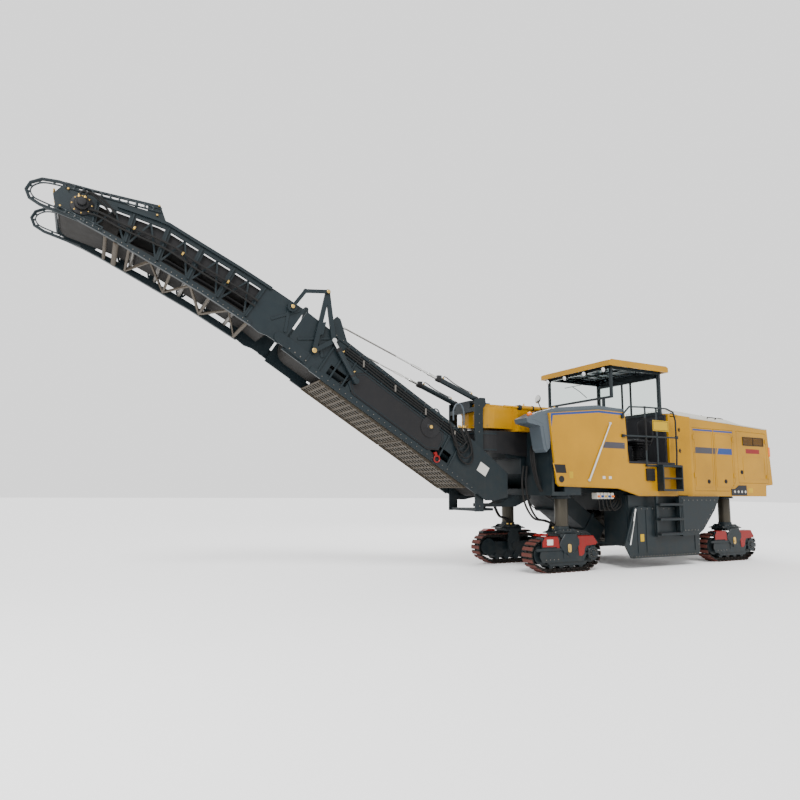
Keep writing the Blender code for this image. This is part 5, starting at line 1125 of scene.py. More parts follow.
def make_inner_conveyor():
    """Slotted belly guard, side covers, webs, hoses and reel, shackles and hooks of the inner section."""
    body = "conveyor_inner"
    wall = CONVEYOR_HALF
    u0, u1 = 0.60, 3.86
    a, b = boom(u0, -0.026), boom(u1, -0.026)
    panels, strips = [], []
    for start, stop, columns in ((u0, 2.08, 11), (2.12, u1, 13)):
        p, q = boom(start, -0.026), boom(stop, -0.026)
        panels.append(perforated((p[0], -0.45, p[1]), (q[0] - p[0], 0, q[1] - p[1]), (0, 0.90, 0), columns, 8,
            (0.37, 0.27)))
        strips += [sweep(np.array([(p[0], y, p[1]), (q[0], y, q[1])]),
            strip(0.026, 0.005)) for y in (-0.472, 0.472)]
    make("belly_guard", "guard", body, *panels, wall=0.006)
    ends = [rod((p[0], -0.50, p[1] - 0.004), (p[0], 0.50, p[1] - 0.004), 0.014, 8)
        for p in (a, boom(2.10, -0.026), b)]
    make("belly_guard_rim", "guard", body, *strips, *ends)
    for side, tag in SIDE_NAMES.items():
        cover = boom_slab([(1.62, 0.10), (3.30, 0.10), (3.42, 0.22), (3.42, 0.44), (3.30, 0.54), (1.50, 0.54),
            (1.42, 0.42), (1.42, 0.22)], wall, wall + 0.016, side, 0.006)
        rim = np.array([boom(u, v) for u, v in ((1.66, 0.13), (3.28, 0.13), (3.39, 0.24), (3.39, 0.42),
            (3.28, 0.51), (1.53, 0.51), (1.45, 0.41), (1.45, 0.24))])
        path = at_y(rim, side * (wall + 0.017))
        make(f"side_covers_{tag}", "black", body, cover)
        make(f"side_cover_rims_{tag}", "slate", body, sweep(path, strip(0.007, 0.004), loop=True))
        webs = [bar(boom(u, 0.06), boom(u, BOOM_DEPTH - 0.04), 0.030, wall - 0.004, wall + 0.026, side)
            for u in (1.10, 1.36, 3.52, 3.76, 3.98)]
        webs += [bar(boom(u, 0.54), boom(u + 0.02, BOOM_DEPTH - 0.04), 0.026, wall - 0.004, wall + 0.026, side)
            for u in (1.60, 2.05, 2.50, 2.95, 3.30)]
        webs.append(bar(boom(1.05, 0.56), boom(4.0, 0.56), 0.024, wall - 0.003, wall + 0.018, side))
        make(f"side_webs_{tag}", "slate", body, *webs)
        low = boom_line(0.5, 0.03, 4.0, 0.03, side * (wall + 0.020), 30)
        top = boom_line(1.1, BOOM_DEPTH - 0.02, 4.05, BOOM_DEPTH - 0.02, side * (wall + 0.020), 22)
        pads = boom_line(BOOM_END - 0.42, 0.08, BOOM_END - 0.10, 0.08, side * (wall + 0.023), 4)
        make(f"side_bolts_{tag}", "steel", body, bolts(low, (0, side, 0), 0.010),
            bolts(top, (0, side, 0), 0.010), bolts(pads, (0, side, 0), 0.013))
        reel_at = (4.67, 2.58)
        rings = [(0, 0.19)] + [(0.012 + 0.004 * (k % 2), 0.19 - 0.012 * k)
            for k in range(11)] + [(0.030, 0.05), (0.034, 0.02)]
        make(f"hose_reel_{tag}", "black", body, boss(rings, reel_at[0], wall + 0.016, reel_at[1], side, 36))
        make(f"reel_cap_{tag}", "gold", body, boss([(0, 0.032), (0.01, 0.030), (0.014, 0.01)], reel_at[0],
            wall + 0.048, reel_at[1], side, 16))
        angle = np.linspace(-0.3 * np.pi, 1.3 * np.pi, 14)
        shackle = np.stack([4.55 + 0.055 * np.cos(angle), np.full(14, side * (wall + 0.045)),
            2.02 - 0.055 * np.sin(angle)], 1)
        make(f"shackles_{tag}", "red", body, tube(shackle, 0.013, 10, 3),
            rod((4.50, side * (wall + 0.045), 2.07), (4.60, side * (wall + 0.045), 2.07), 0.012, 10),
            bar((4.55, 2.06), (4.58, 2.14), 0.05, wall - 0.01, wall + 0.05, side))
        hook = [(3.90, side * (wall - 0.10), 2.60), (3.90, side * (wall - 0.10), 2.90),
            (3.96, side * (wall - 0.10), 3.04),
            (4.06, side * (wall - 0.10), 3.04), (4.12, side * (wall - 0.10), 2.92),
            (4.12, side * (wall - 0.10), 2.74)]
        make(f"lifting_hooks_{tag}", "grey", body, tube(hook, 0.014, 10, 5))
        lug = bar(boom(BOOM_END - 0.62, 0.30), boom(BOOM_END - 0.30, 0.62), 0.05, wall - 0.002, wall + 0.020,
            side)
        lug2 = bar(boom(BOOM_END - 0.62, 0.70), boom(BOOM_END - 0.12, 0.30), 0.04, wall - 0.002, wall + 0.018,
            side)
        make(f"end_braces_{tag}", "slate", body, lug, lug2)
        sign = boom_slab([(0.34, 0.36), (0.56, 0.36), (0.56, 0.54), (0.34, 0.54)], wall, wall + 0.003, side,
            0.001)
        make(f"foot_labels_{tag}", "label", body, sign)
    tail = slab([(-0.46, 1.38), (0.46, 1.38), (0.46, 1.80), (-0.46, 1.80)], 3.002, 3.016, "yz", 0.004)
    make("tail_wear_plate", "guard", body, tail)
    for side, tag in SIDE_NAMES.items():
        for k in range(3):
            v = 0.60 + 0.045 * k
            pts = [boom(u, v + 0.006 * math.sin(u * 4 + k)) for u in (1.06, 1.6, 2.2, 2.8, 3.4, 3.8)]
            make(f"boom_hoses_{k}_{tag}", "rubber", body,
                tube([(p[0], side * (wall + 0.034), p[1]) for p in pts], 0.015, 8))
        clamps = [block(*sorted((boom(u, 0.60)[0] - 0.03, boom(u, 0.60)[0])),
            *across(wall - 0.002, wall + 0.052, side), boom(u, 0.60)[1] - 0.02,
            boom(u, 0.69)[1] + 0.02, 0.004) for u in (1.3, 2.0, 2.7, 3.4)]
        make(f"hose_clamps_{tag}", "steel", body, *clamps)
    loops = []
    for k in range(4):
        y = 0.555 + 0.03 * (k % 2)
        low_z = 1.95 + 0.10 * k
        loops.append(tube([(3.95 + 0.05 * k, y, 2.62), (3.84 + 0.04 * k, y + 0.01, 2.35),
            (3.80 + 0.05 * k, y + 0.02, low_z + 0.1),
            (3.92 + 0.05 * k, y + 0.02, low_z), (4.08 + 0.04 * k, y + 0.01, low_z + 0.12),
            (4.14 + 0.05 * k, y, low_z + 0.42)], 0.016, 8))
    make("boom_hose_loops", "rubber", body, *loops)
    make("hose_unions", "gold", body, *(turned([(0, 0.022), (0.028, 0.022), (0.03, 0.016), (0.045, 0.016)],
        (3.95 + 0.05 * k, 0.555 + 0.03 * (k % 2), 2.60), (0.2, 0, 1), 10) for k in range(4)))


def make_outer_conveyor():
    """Lattice, chords, tip guards and bands, motors, hoses, under braces and rollers of the outer section."""
    body = "conveyor_outer"
    wall = CONVEYOR_HALF
    for side, tag in SIDE_NAMES.items():
        webs, braces = [], []
        for share in 0.045 + 0.165 * np.arange(6):
            webs.append(bar(outer_at(share, 0.10), outer_at(share, 0.90), 0.026, wall - 0.004, wall + 0.030, side))
        for k in range(5):
            s0, s1 = 0.06 + 0.165 * k, 0.06 + 0.165 * (k + 1) - 0.03
            braces += [bar(outer_at(end, 0.16), outer_at((s0 + s1) / 2, 0.84), 0.028, wall - 0.028, wall - 0.004,
                side) for end in (s0, s1)]
        make(f"lattice_webs_{tag}", "slate", body, *webs)
        make(f"lattice_braces_{tag}", "slate", body, *braces)
        path = at_y(outer_at(np.linspace(0.02, 0.78, 14), 0.97), side * (wall + 0.016))
        make(f"upper_chords_{tag}", "slate", body, sweep(path, strip(0.024, 0.018)))
        heads = at_y(outer_at(np.linspace(0.02, 0.98, 34), 0.0) + (0, 0.02), side * (wall + 0.035))
        make(f"lower_chord_bolts_{tag}", "steel", body, bolts(heads, (0, side, 0), 0.009))
        guard = slotted((9.26, 5.56), (10.52, 5.655), 0.085, 11, side * (wall + 0.008))
        lower = slotted((10.02, 5.10), (10.60, 5.30), 0.075, 5, side * (wall + 0.038))
        make(f"tip_guards_{tag}", "slate", body, guard, lower, wall=0.010)
        centre = smooth_path(np.array([(10.40, 0, 5.665), (10.60, 0, 5.69), (10.80, 0, 5.68), (10.93, 0, 5.60),
            (10.976, 0, 5.49), (10.93, 0, 5.38), (10.80, 0, 5.31), (10.30, 0, 5.18)]), 4)
        ahead = unit(np.gradient(centre, axis=0))
        within = centre + np.stack([ahead[:, 2], 0 * ahead[:, 1], -ahead[:, 0]], 1) * 0.052
        rail = within + (0, side * (wall - 0.014), 0)
        spacers = [bar(centre[i, ::2], within[i, ::2], 0.030, wall - 0.026, wall - 0.006, side)
            for i in range(1, len(centre), 4)]
        make(f"tip_bands_{tag}", "slate", body, sweep(rail, strip(0.008, 0.010)), *spacers)
        # Dark plates inside the lattice beside the belt, painted shade: they stand in for the shadowed inside of
        # the conveyor seen through the lattice.
        low, high = outer_at(np.linspace(0.01, 0.80, 12), 0.50), outer_at(np.linspace(0.01, 0.80, 12), 0.84)
        make(f"belt_skirts_{tag}", "black", body,
            plate(np.concatenate([low, high[::-1]]), wall - 0.085, wall - 0.075, side, 0.002))
        nuts = [boss([(0, 0.014), (0.03, 0.014), (0.034, 0.008)], x, wall + 0.012, z, side, 8)
            for x, z in ((9.32, 5.47), (9.30, 5.62), (10.48, 5.60), (10.56, 5.33))]
        make(f"tip_guard_bolts_{tag}", "gold", body, *nuts)
        hoses = []
        for k in range(2):
            share = np.array([0.04, 0.14, 0.26, 0.38, 0.50, 0.62, 0.74, 0.84, 0.90])
            line = outer_at(share, 0.56 - 0.14 * k)
            sag = -0.03 * np.abs(np.sin(share * 19))
            y = side * (wall + 0.046 + 0.006 * k)
            hoses.append(tube(np.stack([line[:, 0], np.full(9, y), line[:, 1] + sag], 1), 0.018 - 0.003 * k, 8))
        make(f"outer_hoses_{tag}", "rubber", body, *hoses)
        clips = [turned([(0, 0.026), (0.002, 0.030), (0.026, 0.030), (0.028, 0.026)],
            (p[0], side * (wall + 0.048), p[1]), (0.9, 0, 0.42), 10)
            for p in outer_at(np.array([0.20, 0.44, 0.68]), 0.53)]
        make(f"outer_hose_clips_{tag}", "gold", body, *clips)
        motor = boss([(-0.002, 0.15), (0.02, 0.15), (0.026, 0.14), (0.03, 0.095), (0.09, 0.095),
            (0.10, 0.085), (0.102, 0.062), (0.16, 0.060), (0.17, 0.05),
            (0.172, 0.02)], 10.30, wall, 5.41, side, 28)
        make(f"drive_motors_{tag}", "black", body, motor)
        ring = at_y(disc((10.30, 5.41), 0.125, 8), side * (wall + 0.024))
        ports = [turned([(0, 0.02), (0.025, 0.02), (0.028, 0.013), (0.05, 0.013), (0.052, 0.006)],
            (10.30 + dx, side * (wall + 0.13), 5.41 + 0.055), (dx * 3, 0, 1), 10) for dx in (-0.035, 0.035)]
        make(f"drive_motor_fittings_{tag}", "gold", body, bolts(ring, (0, side, 0), 0.012), *ports)
        lead = [tube([(10.30 + dx, side * (wall + 0.13), 5.50), (10.26 + dx, side * (wall + 0.13), 5.56),
            (10.12 + dx, side * (wall + 0.10), 5.54), (9.98 + dx, side * (wall + 0.06), 5.44),
            (9.90 + dx, side * (wall + 0.046), 5.34)], 0.016, 8) for dx in (-0.035, 0.035)]
        make(f"drive_motor_hoses_{tag}", "rubber", body, *lead)
        root = [bar(boom(BOOM_END + 0.10, 0.26), boom(BOOM_END + 0.30, 0.70), 0.05, wall - 0.002, wall + 0.016,
            side),
            bar(boom(BOOM_END + 0.10, 0.72), boom(BOOM_END + 0.40, 0.30), 0.04, wall - 0.002, wall + 0.014,
            side)]
        make(f"root_braces_{tag}", "slate", body, *root)
    cross = []
    for start, stop, lean in ((0.02, 0.13, 1), (0.13, 0.24, -1), (0.24, 0.35, 1), (0.35, 0.46, -1),
            (0.46, 0.57, 1), (0.57, 0.68, -1)):
        (x0, z0), (x1, z1) = outer_at(start, 0.02), outer_at(stop, 0.02)
        cross.append(sweep(np.array([(x0, -0.50 * lean, z0), (x1, 0.50 * lean, z1)]), strip(0.020, 0.012)))
    for share, width in ((0.02, 0.03), (0.24, 0.022), (0.46, 0.022), (0.68, 0.022), (0.745, 0.040),
            (0.80, 0.026)):
        x, z = outer_at(share, 0.02)
        cross.append(rod((x, -0.50, z), (x, 0.50, z), width, 10))
    make("under_braces", "guard", body, *cross)
    rollers = []
    for share in (0.10, 0.24, 0.38, 0.52, 0.66):
        x, z = outer_at(share, 0.13)
        rollers.append(turned([(0, 0.012), (0.02, 0.030), (0.90, 0.030), (0.92, 0.012)], (x, -0.46, z),
            (0, 1, 0), 14))
    make("return_rollers", "steel", body, *rollers)
    ties = [rod((x, -0.51, z), (x, 0.51, z), 0.020, 10)
        for x, z in ((10.45, 5.665), (9.60, 5.60), (10.62, 5.33))]
    make("tip_cross_bars", "slate", body, *ties)
    spray = [rod((10.66, -0.40, 5.62), (10.66, 0.40, 5.62), 0.014, 10)]
    spray += [turned([(0, 0.012), (0.02, 0.010), (0.03, 0.004)], (10.66, y, 5.61), (0.3, 0, -1), 8)
        for y in np.linspace(-0.36, 0.36, 7)]
    make("spray_bar", "gold", body, *spray)


def make_belts():
    """Cleats across the belts."""
    share = np.linspace(0.5, 4.1, 16)
    cleat = joined(bar_3d((-0.36, 0.0), (0.0, 0.07)), bar_3d((0.36, 0.0), (0.0, 0.07)))
    cx, sx = math.cos(BOOM_PITCH), math.sin(BOOM_PITCH)
    turn = np.array([[cx, 0, -sx], [0, 1, 0], [sx, 0, cx]])
    places = np.array([(boom(u, 0.601)[0], 0, boom(u, 0.601)[1]) for u in share])
    make("inner_belt_cleats", "belt", "conveyor_inner", copies(cleat, places,
        np.repeat(turn[None], len(places), 0)))
    outer_share = np.linspace(0.02, 0.86, 15)
    points, ahead = outer_at(outer_share, 0.78), unit(outer_at(outer_share + 0.02,
        0.78) - outer_at(outer_share - 0.02, 0.78))
    turns = np.zeros((15, 3, 3))
    turns[:, 0, 0], turns[:, 2, 0], turns[:, 1, 1] = ahead[:, 0], ahead[:, 1], 1
    turns[:, 0, 2], turns[:, 2, 2] = -ahead[:, 1], ahead[:, 0]
    make("outer_belt_cleats", "belt", "conveyor_outer",
        copies(cleat, np.stack([points[:, 0], np.zeros(15), points[:, 1]], 1), turns))


def bar_3d(a, b):
    """A low cleat from one (Y, X) point to another on the belt's face."""
    start, end = np.array((a[1], a[0], 0.006)), np.array((b[1], b[0], 0.006))
    return sweep(np.array([start, end]), [(-0.008, -0.008), (0.008, -0.008), (0.005, 0.010), (-0.005, 0.010)])


def make_mast_and_cylinders():
    """Bolted mast plates, cylinder glands and fittings, turnbuckles, and pins with their keepers."""
    for side, tag in SIDE_NAMES.items():
        face = 0.47
        heads = row((3.59, side * face, 1.20), (3.59, side * face, 1.56), 4)
        tops = row((3.59, side * face, 1.90), (3.59, side * face, 3.05), 8)
        make(f"mast_bolts_{tag}", "steel", "conveyor_mast", bolts(tops[4:], (0, side, 0)),
            bolts(heads[:1], (0, side, 0)))
        foot, eye = np.array((3.50, 3.14)), np.array((6.45, 4.27))
        along = unit(eye - foot)
        y = side * 0.37

        def at(distance):
            """The place this far along the cylinder."""
            p = foot + along * distance
            return (p[0], y, p[1])
        direction = (along[0], 0, along[1])
        body = f"lift_barrel_{tag}"
        gland = turned([(0, 0.052), (0.05, 0.058), (0.09, 0.058), (0.10, 0.050), (0.105, 0.034)], at(0.92),
            direction, 24)
        ends = turned([(0, 0.052), (0.004, 0.056), (0.05, 0.056), (0.054, 0.052)], at(0.08), direction, 24)
        make(f"lift_cylinder_bands_{tag}", "black", body, gland, ends)
        make(f"lift_cylinder_ports_{tag}", "gold", body,
            *(turned([(0, 0.016), (0.022, 0.016), (0.024, 0.011), (0.04, 0.011), (0.042, 0.005)],
            (at(d)[0], y, at(d)[2] + 0.048), (0, 0, 1), 10) for d in (0.20, 0.86)))
        make(f"lift_cylinder_hose_{tag}", "rubber", body,
            tube([(at(0.86)[0], y, at(0.86)[2] + 0.085), (at(0.80)[0], y, at(0.80)[2] + 0.11),
            (at(0.6)[0], y, at(0.6)[2] + 0.075),
            (at(0.3)[0], y, at(0.3)[2] + 0.068), (at(0.22)[0], y, at(0.22)[2] + 0.085)], 0.010, 8))
        stay = f"lift_stay_{tag}"
        length = float(np.linalg.norm(eye - foot))
        sleeve = turned([(0, 0.014), (0.01, 0.024), (0.22, 0.024), (0.23, 0.014)], at(1.34), direction, 8)
        thread = turned([(0.012 * k, 0.0165 if k % 2 else 0.0135) for k in range(24)], at(1.58), direction, 10)
        ball = turned([(0, 0.021), (0.02, 0.034), (0.06, 0.034), (0.08, 0.021)], at(1.14), direction, 20)
        make(f"turnbuckles_{tag}", "chrome", stay, sleeve, thread, ball)
        turn = np.linspace(0, 2 * np.pi * 34, 34 * 8)
        axes = basis(direction)
        rope_len = length - 0.22 - 1.90
        centre = np.array(at(1.90)) + np.linspace(0, rope_len, len(turn))[:, None] * axes[:, 2]
        strand = [sweep(centre + 0.0085 * (np.cos(turn + p)[:, None] * axes[:, 0]
            + np.sin(turn + p)[:, None] * axes[:, 1]), disc((0, 0), 0.0065, 5)) for p in (0, 2.094, 4.189)]
        make(f"stay_ropes_{tag}", "steel", stay, *strand)
        wall = CONVEYOR_HALF
        lever = f"fold_lever_{tag}"
        out = wall + 0.045 + 0.02
        make(f"lever_pins_{tag}", "gold", lever,
            boss([(0, 0.040), (0.008, 0.040), (0.012, 0.034), (0.012, 0.01)], 6.85, out + 0.001, 3.70, side,
            20))
        gus = plate([(6.70, 3.98), (6.82, 3.96), (6.77, 4.18), (6.66, 4.20)], wall + 0.027, wall + 0.063, side,
            0.006)
        make(f"lever_gussets_{tag}", "slate", lever, gus)
        link = f"fold_link_{tag}"
        far = wall + 0.045 + 0.051
        caps = [boss([(0, 0.030), (0.008, 0.030), (0.011, 0.024), (0.011, 0.008)], x, far + 0.001, z, side, 18)
            for x, z in ((6.65, 4.71), (7.24, 4.37))]
        make(f"link_pins_{tag}", "gold", link, *caps)
        barrel = f"fold_barrel_{tag}"
        f, e = np.array((6.12, 3.26)), np.array((6.52, 3.90))
        fa = unit(e - f)
        size = float(np.linalg.norm(e - f))
        yb = side * (wall + 0.065)

        def fold_at(distance):
            """The place this far along the fold cylinder."""
            p = f + fa * distance
            return (p[0], yb, p[1])
        fold_dir = (fa[0], 0, fa[1])
        make(f"fold_cylinder_glands_{tag}", "black", barrel,
            turned([(0, 0.047), (0.01, 0.052), (0.05, 0.052), (0.055, 0.046), (0.06, 0.029)],
            fold_at(size - 0.195), fold_dir, 22),
            turned([(0, 0.047), (0.004, 0.050), (0.03, 0.050), (0.034, 0.047)], fold_at(0.09), fold_dir, 22))
        make(f"fold_cylinder_ports_{tag}", "gold", barrel,
            *(turned([(0, 0.014), (0.02, 0.014), (0.022, 0.01), (0.034, 0.01), (0.036, 0.004)],
            (fold_at(d)[0] - 0.036, yb, fold_at(d)[2] + 0.022), (-0.85, 0, 0.53), 10)
            for d in (0.15, size - 0.23)))


def make_ground_lines():
    """Hoses from the frame to a union beside each front column."""
    for side, tag in SIDE_NAMES.items():
        runs, unions = [], []
        for k in range(2):
            end = (2.0 + 0.155 * math.cos(0.9 + 0.5 * k), side * (TRACK_Y - 0.155 * math.sin(0.9 + 0.5 * k)))
            runs.append(tube([(2.60 - 0.04 * k, side * (0.50 + 0.05 * k), 1.95),
                (2.64 - 0.05 * k, side * (0.50 + 0.05 * k), 1.62),
                (2.60 - 0.06 * k, side * (0.52 + 0.05 * k), 1.25),
                (2.44 - 0.05 * k, side * (0.56 + 0.04 * k), 0.98),
                (2.26 - 0.04 * k, side * (0.62 + 0.02 * k), 0.93),
                ((2.26 + end[0]) / 2, (side * 0.64 + end[1]) / 2, 0.90),
                (end[0], end[1], 0.84), (end[0], end[1], 0.805)], 0.020, 10))
            unions.append(turned([(0, 0.016), (0.006, 0.025), (0.030, 0.025), (0.034, 0.020)],
                (end[0], end[1], 0.782), (0, 0, 1), 12))
        make(f"column_unions_{tag}", "gold", "chassis", *unions)
        make(f"column_hoses_{tag}", "rubber", "chassis", *runs)


# -------------------------------------------------------------------- stage
def make_stage():
    """A pale floor, an even sky, a sun, two soft area lights and the camera at its place and angles."""
    s = settings()
    floor_points = np.array([(-90, -90, 0), (90, -90, 0), (90, 90, 0), (-90, 90, 0)], float)
    mesh = bpy.data.meshes.new("floor")
    mesh.from_pydata(floor_points.tolist(), [], [(0, 1, 2, 3)])
    made = bpy.data.objects.new("floor", mesh)
    bpy.context.scene.collection.objects.link(made)
    mat = bpy.data.materials.new("pale floor")
    mat.use_nodes = True
    shader = mat.node_tree.nodes["Principled BSDF"]
    shader.inputs["Base Color"].default_value = (0.94, 0.94, 0.94, 1)
    shader.inputs["Roughness"].default_value = 0.9
    mesh.materials.append(mat)
    world = bpy.data.worlds.new("studio")
    bpy.context.scene.world = world
    world.use_nodes = True
    sky = world.node_tree.nodes["Background"]
    sky.inputs["Color"].default_value = (1.0, 1.0, 1.0, 1)
    sky.inputs["Strength"].default_value = s.sky_strength

    def light(name, kind, place, aim, energy, size):
        """A light at its place, turned to its aim."""
        data = bpy.data.lights.new(name, kind)
        data.energy = energy
        if kind == "SUN":
            data.angle = size
        else:
            data.size = size
        held = bpy.data.objects.new(name, data)
        held.location = place
        held.rotation_euler = (Vector(aim) - Vector(place)).to_track_quat("-Z", "Y").to_euler()
        bpy.context.scene.collection.objects.link(held)
    light("key", "SUN", (6, 12, 14), (0, 0, 1), s.sun_strength, 0.35)
    light("fill", "AREA", (10, 6, 5), (1, 0, 2.5), 500, 6)
    light("rim", "AREA", (-8, -8, 9), (-2, 0, 2), 500, 7)
    yaw, pitch, roll = s.camera_yaw, s.camera_pitch, s.camera_roll
    view = np.array((-math.sin(yaw) * math.cos(pitch), -math.cos(yaw) * math.cos(pitch), math.sin(pitch)))
    right = unit(np.cross(view, (0, 0, 1)))
    up = np.cross(right, view)
    c, r = math.cos(roll), math.sin(roll)
    right, up = c * right + r * up, -r * right + c * up
    data = bpy.data.cameras.new("camera")
    data.lens = s.lens
    data.shift_x, data.shift_y = -0.0196, 0.00125
    data.clip_end = 200
    camera = bpy.data.objects.new("camera", data)
    turn = Matrix([[right[i], up[i], -view[i], s.camera_place[i]] for i in range(3)] + [[0, 0, 0, 1]])
    camera.matrix_world = turn
    bpy.context.scene.collection.objects.link(camera)
    bpy.context.scene.camera = camera


NODE_FINISHES = {
    "yellow": ("slew_frame", "side_panel_left", "side_panel_right", "engine_house", "door_front_left",
    "door_rear_left", "door_intake_left", "door_cooler_right", "canopy_roof"),
    "black": ("hopper_shell",), "charcoal": ("platform", "console"), "grey": ("front_hood",),
    "silver": ("engine_hood",),
    "belt": ("inner_belt", "outer_belt"), "glass": ("windscreen", "rear_window"),
    "steel": ("engine_block", "milling_drum"), "chrome": ("fold_rod_left", "fold_rod_right", "lift_stay_left",
    "lift_stay_right"),
}


def finish_frame():
    """Every carried-over node takes its paint; what is not named is slate."""
    named = {node: key for key, nodes in NODE_FINISHES.items() for node in nodes}
    for name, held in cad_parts.items():
        held.data.materials.clear()
        held.data.materials.append(paint(named.get(name, "slate")))


# ------------------------------------------------------------------- add-on
class PLANER_PG_settings(bpy.types.PropertyGroup):
    """Sizes, colours and the view"""
    yellow: FloatVectorProperty(name="Body yellow", description="Paint of the body panels", subtype="COLOR",
        size=3, default=(0.36, 0.175, 0.0005), min=0, max=1)
    slate: FloatVectorProperty(name="Frame slate", description="Paint of the frame and conveyors",
        subtype="COLOR", size=3, default=(0.006, 0.0115, 0.0145), min=0, max=1)
    black: FloatVectorProperty(name="Cover black", description="Paint of covers and boxes", subtype="COLOR",
        size=3, default=(0.008, 0.008, 0.009), min=0, max=1)
    silver: FloatVectorProperty(name="Lid silver", description="Paint of the engine lid", subtype="COLOR",
        size=3, default=(0.46, 0.45, 0.40), min=0, max=1)
    grey: FloatVectorProperty(name="Hood grey", description="Paint of the front hood", subtype="COLOR",
        size=3, default=(0.060, 0.075, 0.088), min=0, max=1)
    red: FloatVectorProperty(name="Guard red", description="Paint of the track guards", subtype="COLOR",
        size=3, default=(0.19, 0.003, 0.002), min=0, max=1)
    blue: FloatVectorProperty(name="Stripe blue", description="Film of the blue stripes", subtype="COLOR",
        size=3, default=(0.012, 0.042, 0.17), min=0, max=1)
    dust_colour: FloatVectorProperty(name="Dust", description="Colour of settled dust", subtype="COLOR",
        size=3, default=(0.075, 0.058, 0.038), min=0, max=1)
    shoe_count: IntProperty(name="Track shoes", description="Shoes round each track", default=34, min=20,
        max=60)
    pick_count: IntProperty(name="Drum picks", description="Picks on the milling drum", default=168, min=24,
        max=400)
    dust_share: FloatProperty(name="Dust share", description="How much of each finish's dust shows",
        default=0.4, min=0, max=1)
    sky_strength: FloatProperty(name="Sky", description="Strength of the surrounding light", default=1.5, min=0)
    sun_strength: FloatProperty(name="Sun", description="Strength of the main light", default=2.6, min=0)
    lens: FloatProperty(name="Lens", description="Focal length in millimetres", default=27.916, min=5)
    camera_yaw: FloatProperty(name="Yaw", description="Turn of the view from straight across", subtype="ANGLE",
        default=math.radians(27.888))
    camera_pitch: FloatProperty(name="Pitch", description="Upward tilt of the view", subtype="ANGLE",
        default=math.radians(8.153))
    camera_roll: FloatProperty(name="Roll", description="Roll of the view", subtype="ANGLE",
        default=math.radians(0.487))
    camera_place: FloatVectorProperty(name="Camera place", description="Where the camera stands",
        subtype="TRANSLATION", unit="LENGTH", size=3, default=(6.4596, 10.038, 1.482))


def settings():
    """The sizes and colours held by the scene."""
    return bpy.context.scene.planer


class PLANER_OT_stage(bpy.types.Operator):
    """Floor, lights and camera"""
    bl_idname = "planer.stage"
    bl_label = "Stage"

    def execute(self, context):
        make_stage()
        return {"FINISHED"}


class PLANER_OT_finish_frame(bpy.types.Operator):
    """Paint for every node of the frame"""
    bl_idname = "planer.finish_frame"
    bl_label = "Finish frame"

    def execute(self, context):
        finish_frame()
        return {"FINISHED"}


class PLANER_OT_tracks(bpy.types.Operator):
    """Shoes, chains, guards, saddles and columns"""
    bl_idname = "planer.tracks"
    bl_label = "Tracks"

    def execute(self, context):
        make_tracks()
        return {"FINISHED"}


class PLANER_OT_drum(bpy.types.Operator):
    """Picks and flights of the milling drum"""
    bl_idname = "planer.drum"
    bl_label = "Drum"

    def execute(self, context):
        make_drum()
        return {"FINISHED"}


class PLANER_OT_side_gear(bpy.types.Operator):
    """Side plates, housing covers and ladders"""
    bl_idname = "planer.side_gear"
    bl_label = "Side gear"

    def execute(self, context):
        make_side_gear()
        return {"FINISHED"}


class PLANER_OT_body_trim(bpy.types.Operator):
    """Stripes, louvres, latches and labels"""
    bl_idname = "planer.body_trim"
    bl_label = "Body trim"

    def execute(self, context):
        make_body_trim()
        return {"FINISHED"}


class PLANER_OT_hood(bpy.types.Operator):
    """Ribs, hump, vents and seals of the lid"""
    bl_idname = "planer.hood"
    bl_label = "Engine lid"

    def execute(self, context):
        make_hood()
        return {"FINISHED"}


class PLANER_OT_stand(bpy.types.Operator):
    """Roof bows, lamps, rails and controls"""
    bl_idname = "planer.stand"
    bl_label = "Operator's stand"

    def execute(self, context):
        make_stand()
        return {"FINISHED"}


class PLANER_OT_seats(bpy.types.Operator):
    """Padded seats on bellows pedestals"""
    bl_idname = "planer.seats"
    bl_label = "Seats"

    def execute(self, context):
        make_seats()
        return {"FINISHED"}


class PLANER_OT_nose(bpy.types.Operator):
    """Slewing nose, front hood trim and valve gear"""
    bl_idname = "planer.nose"
    bl_label = "Nose"

    def execute(self, context):
        make_nose()
        return {"FINISHED"}


class PLANER_OT_inner_conveyor(bpy.types.Operator):
    """Guards, covers, webs and hoses"""
    bl_idname = "planer.inner_conveyor"
    bl_label = "Inner conveyor"

    def execute(self, context):
        make_inner_conveyor()
        return {"FINISHED"}


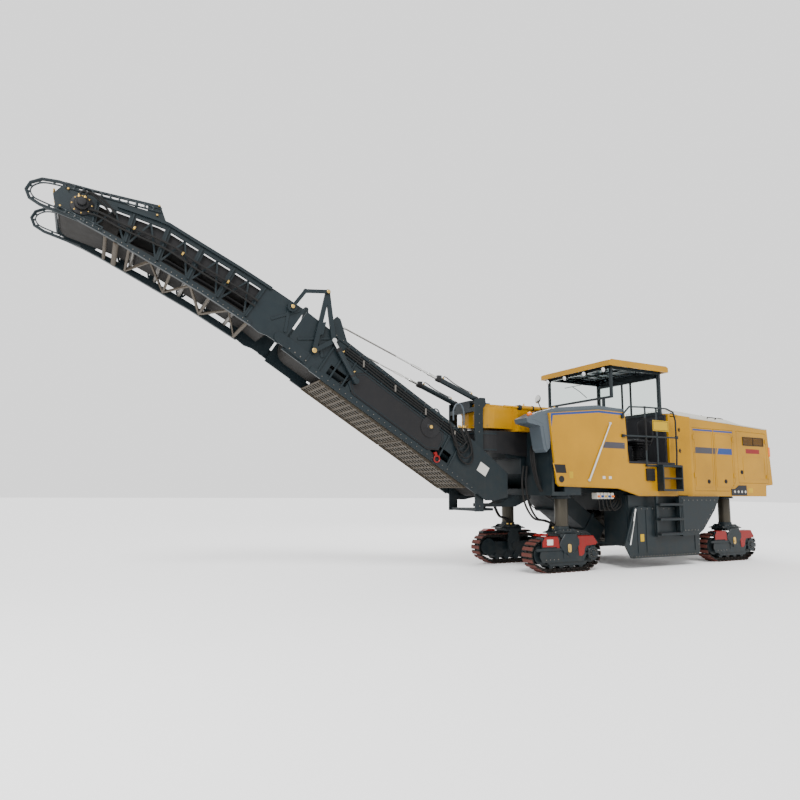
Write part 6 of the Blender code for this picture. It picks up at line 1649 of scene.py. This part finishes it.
class PLANER_OT_outer_conveyor(bpy.types.Operator):
    """Lattice, tip guards, motors and hoses"""
    bl_idname = "planer.outer_conveyor"
    bl_label = "Outer conveyor"

    def execute(self, context):
        make_outer_conveyor()
        return {"FINISHED"}


class PLANER_OT_belts(bpy.types.Operator):
    """Cleats on both belts"""
    bl_idname = "planer.belts"
    bl_label = "Belts"

    def execute(self, context):
        make_belts()
        return {"FINISHED"}


class PLANER_OT_cylinders(bpy.types.Operator):
    """Mast, cylinders, stays and pins"""
    bl_idname = "planer.cylinders"
    bl_label = "Cylinders"

    def execute(self, context):
        make_mast_and_cylinders()
        return {"FINISHED"}


class PLANER_OT_ground_lines(bpy.types.Operator):
    """Hoses down to the front columns"""
    bl_idname = "planer.ground_lines"
    bl_label = "Ground lines"

    def execute(self, context):
        make_ground_lines()
        return {"FINISHED"}


OPERATORS = (PLANER_OT_stage, PLANER_OT_finish_frame, PLANER_OT_tracks, PLANER_OT_drum, PLANER_OT_side_gear,
    PLANER_OT_body_trim, PLANER_OT_hood, PLANER_OT_stand, PLANER_OT_seats, PLANER_OT_nose,
    PLANER_OT_inner_conveyor, PLANER_OT_outer_conveyor, PLANER_OT_belts, PLANER_OT_cylinders,
    PLANER_OT_ground_lines)


class PLANER_PT_panel(bpy.types.Panel):
    """Everything that can be made, in order"""
    bl_label = "Cold planer"
    bl_idname = "PLANER_PT_panel"
    bl_space_type = "VIEW_3D"
    bl_region_type = "UI"
    bl_category = "Planer"

    def draw(self, context):
        for made in OPERATORS:
            self.layout.operator(made.bl_idname)
        for key in PLANER_PG_settings.__annotations__:
            self.layout.prop(context.scene.planer, key)


CLASSES = (PLANER_PG_settings, *OPERATORS, PLANER_PT_panel)


def register():
    """Adds the classes and the settings."""
    for held in CLASSES:
        bpy.utils.register_class(held)
    bpy.types.Scene.planer = PointerProperty(type=PLANER_PG_settings)


def unregister():
    """Removes the settings and the classes."""
    del bpy.types.Scene.planer
    for held in reversed(CLASSES):
        bpy.utils.unregister_class(held)


def main():
    """Registers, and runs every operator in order."""
    register()
    for made in OPERATORS:
        getattr(bpy.ops.planer, made.bl_idname.split(".")[1])()


if __name__ == "__main__":
    main()
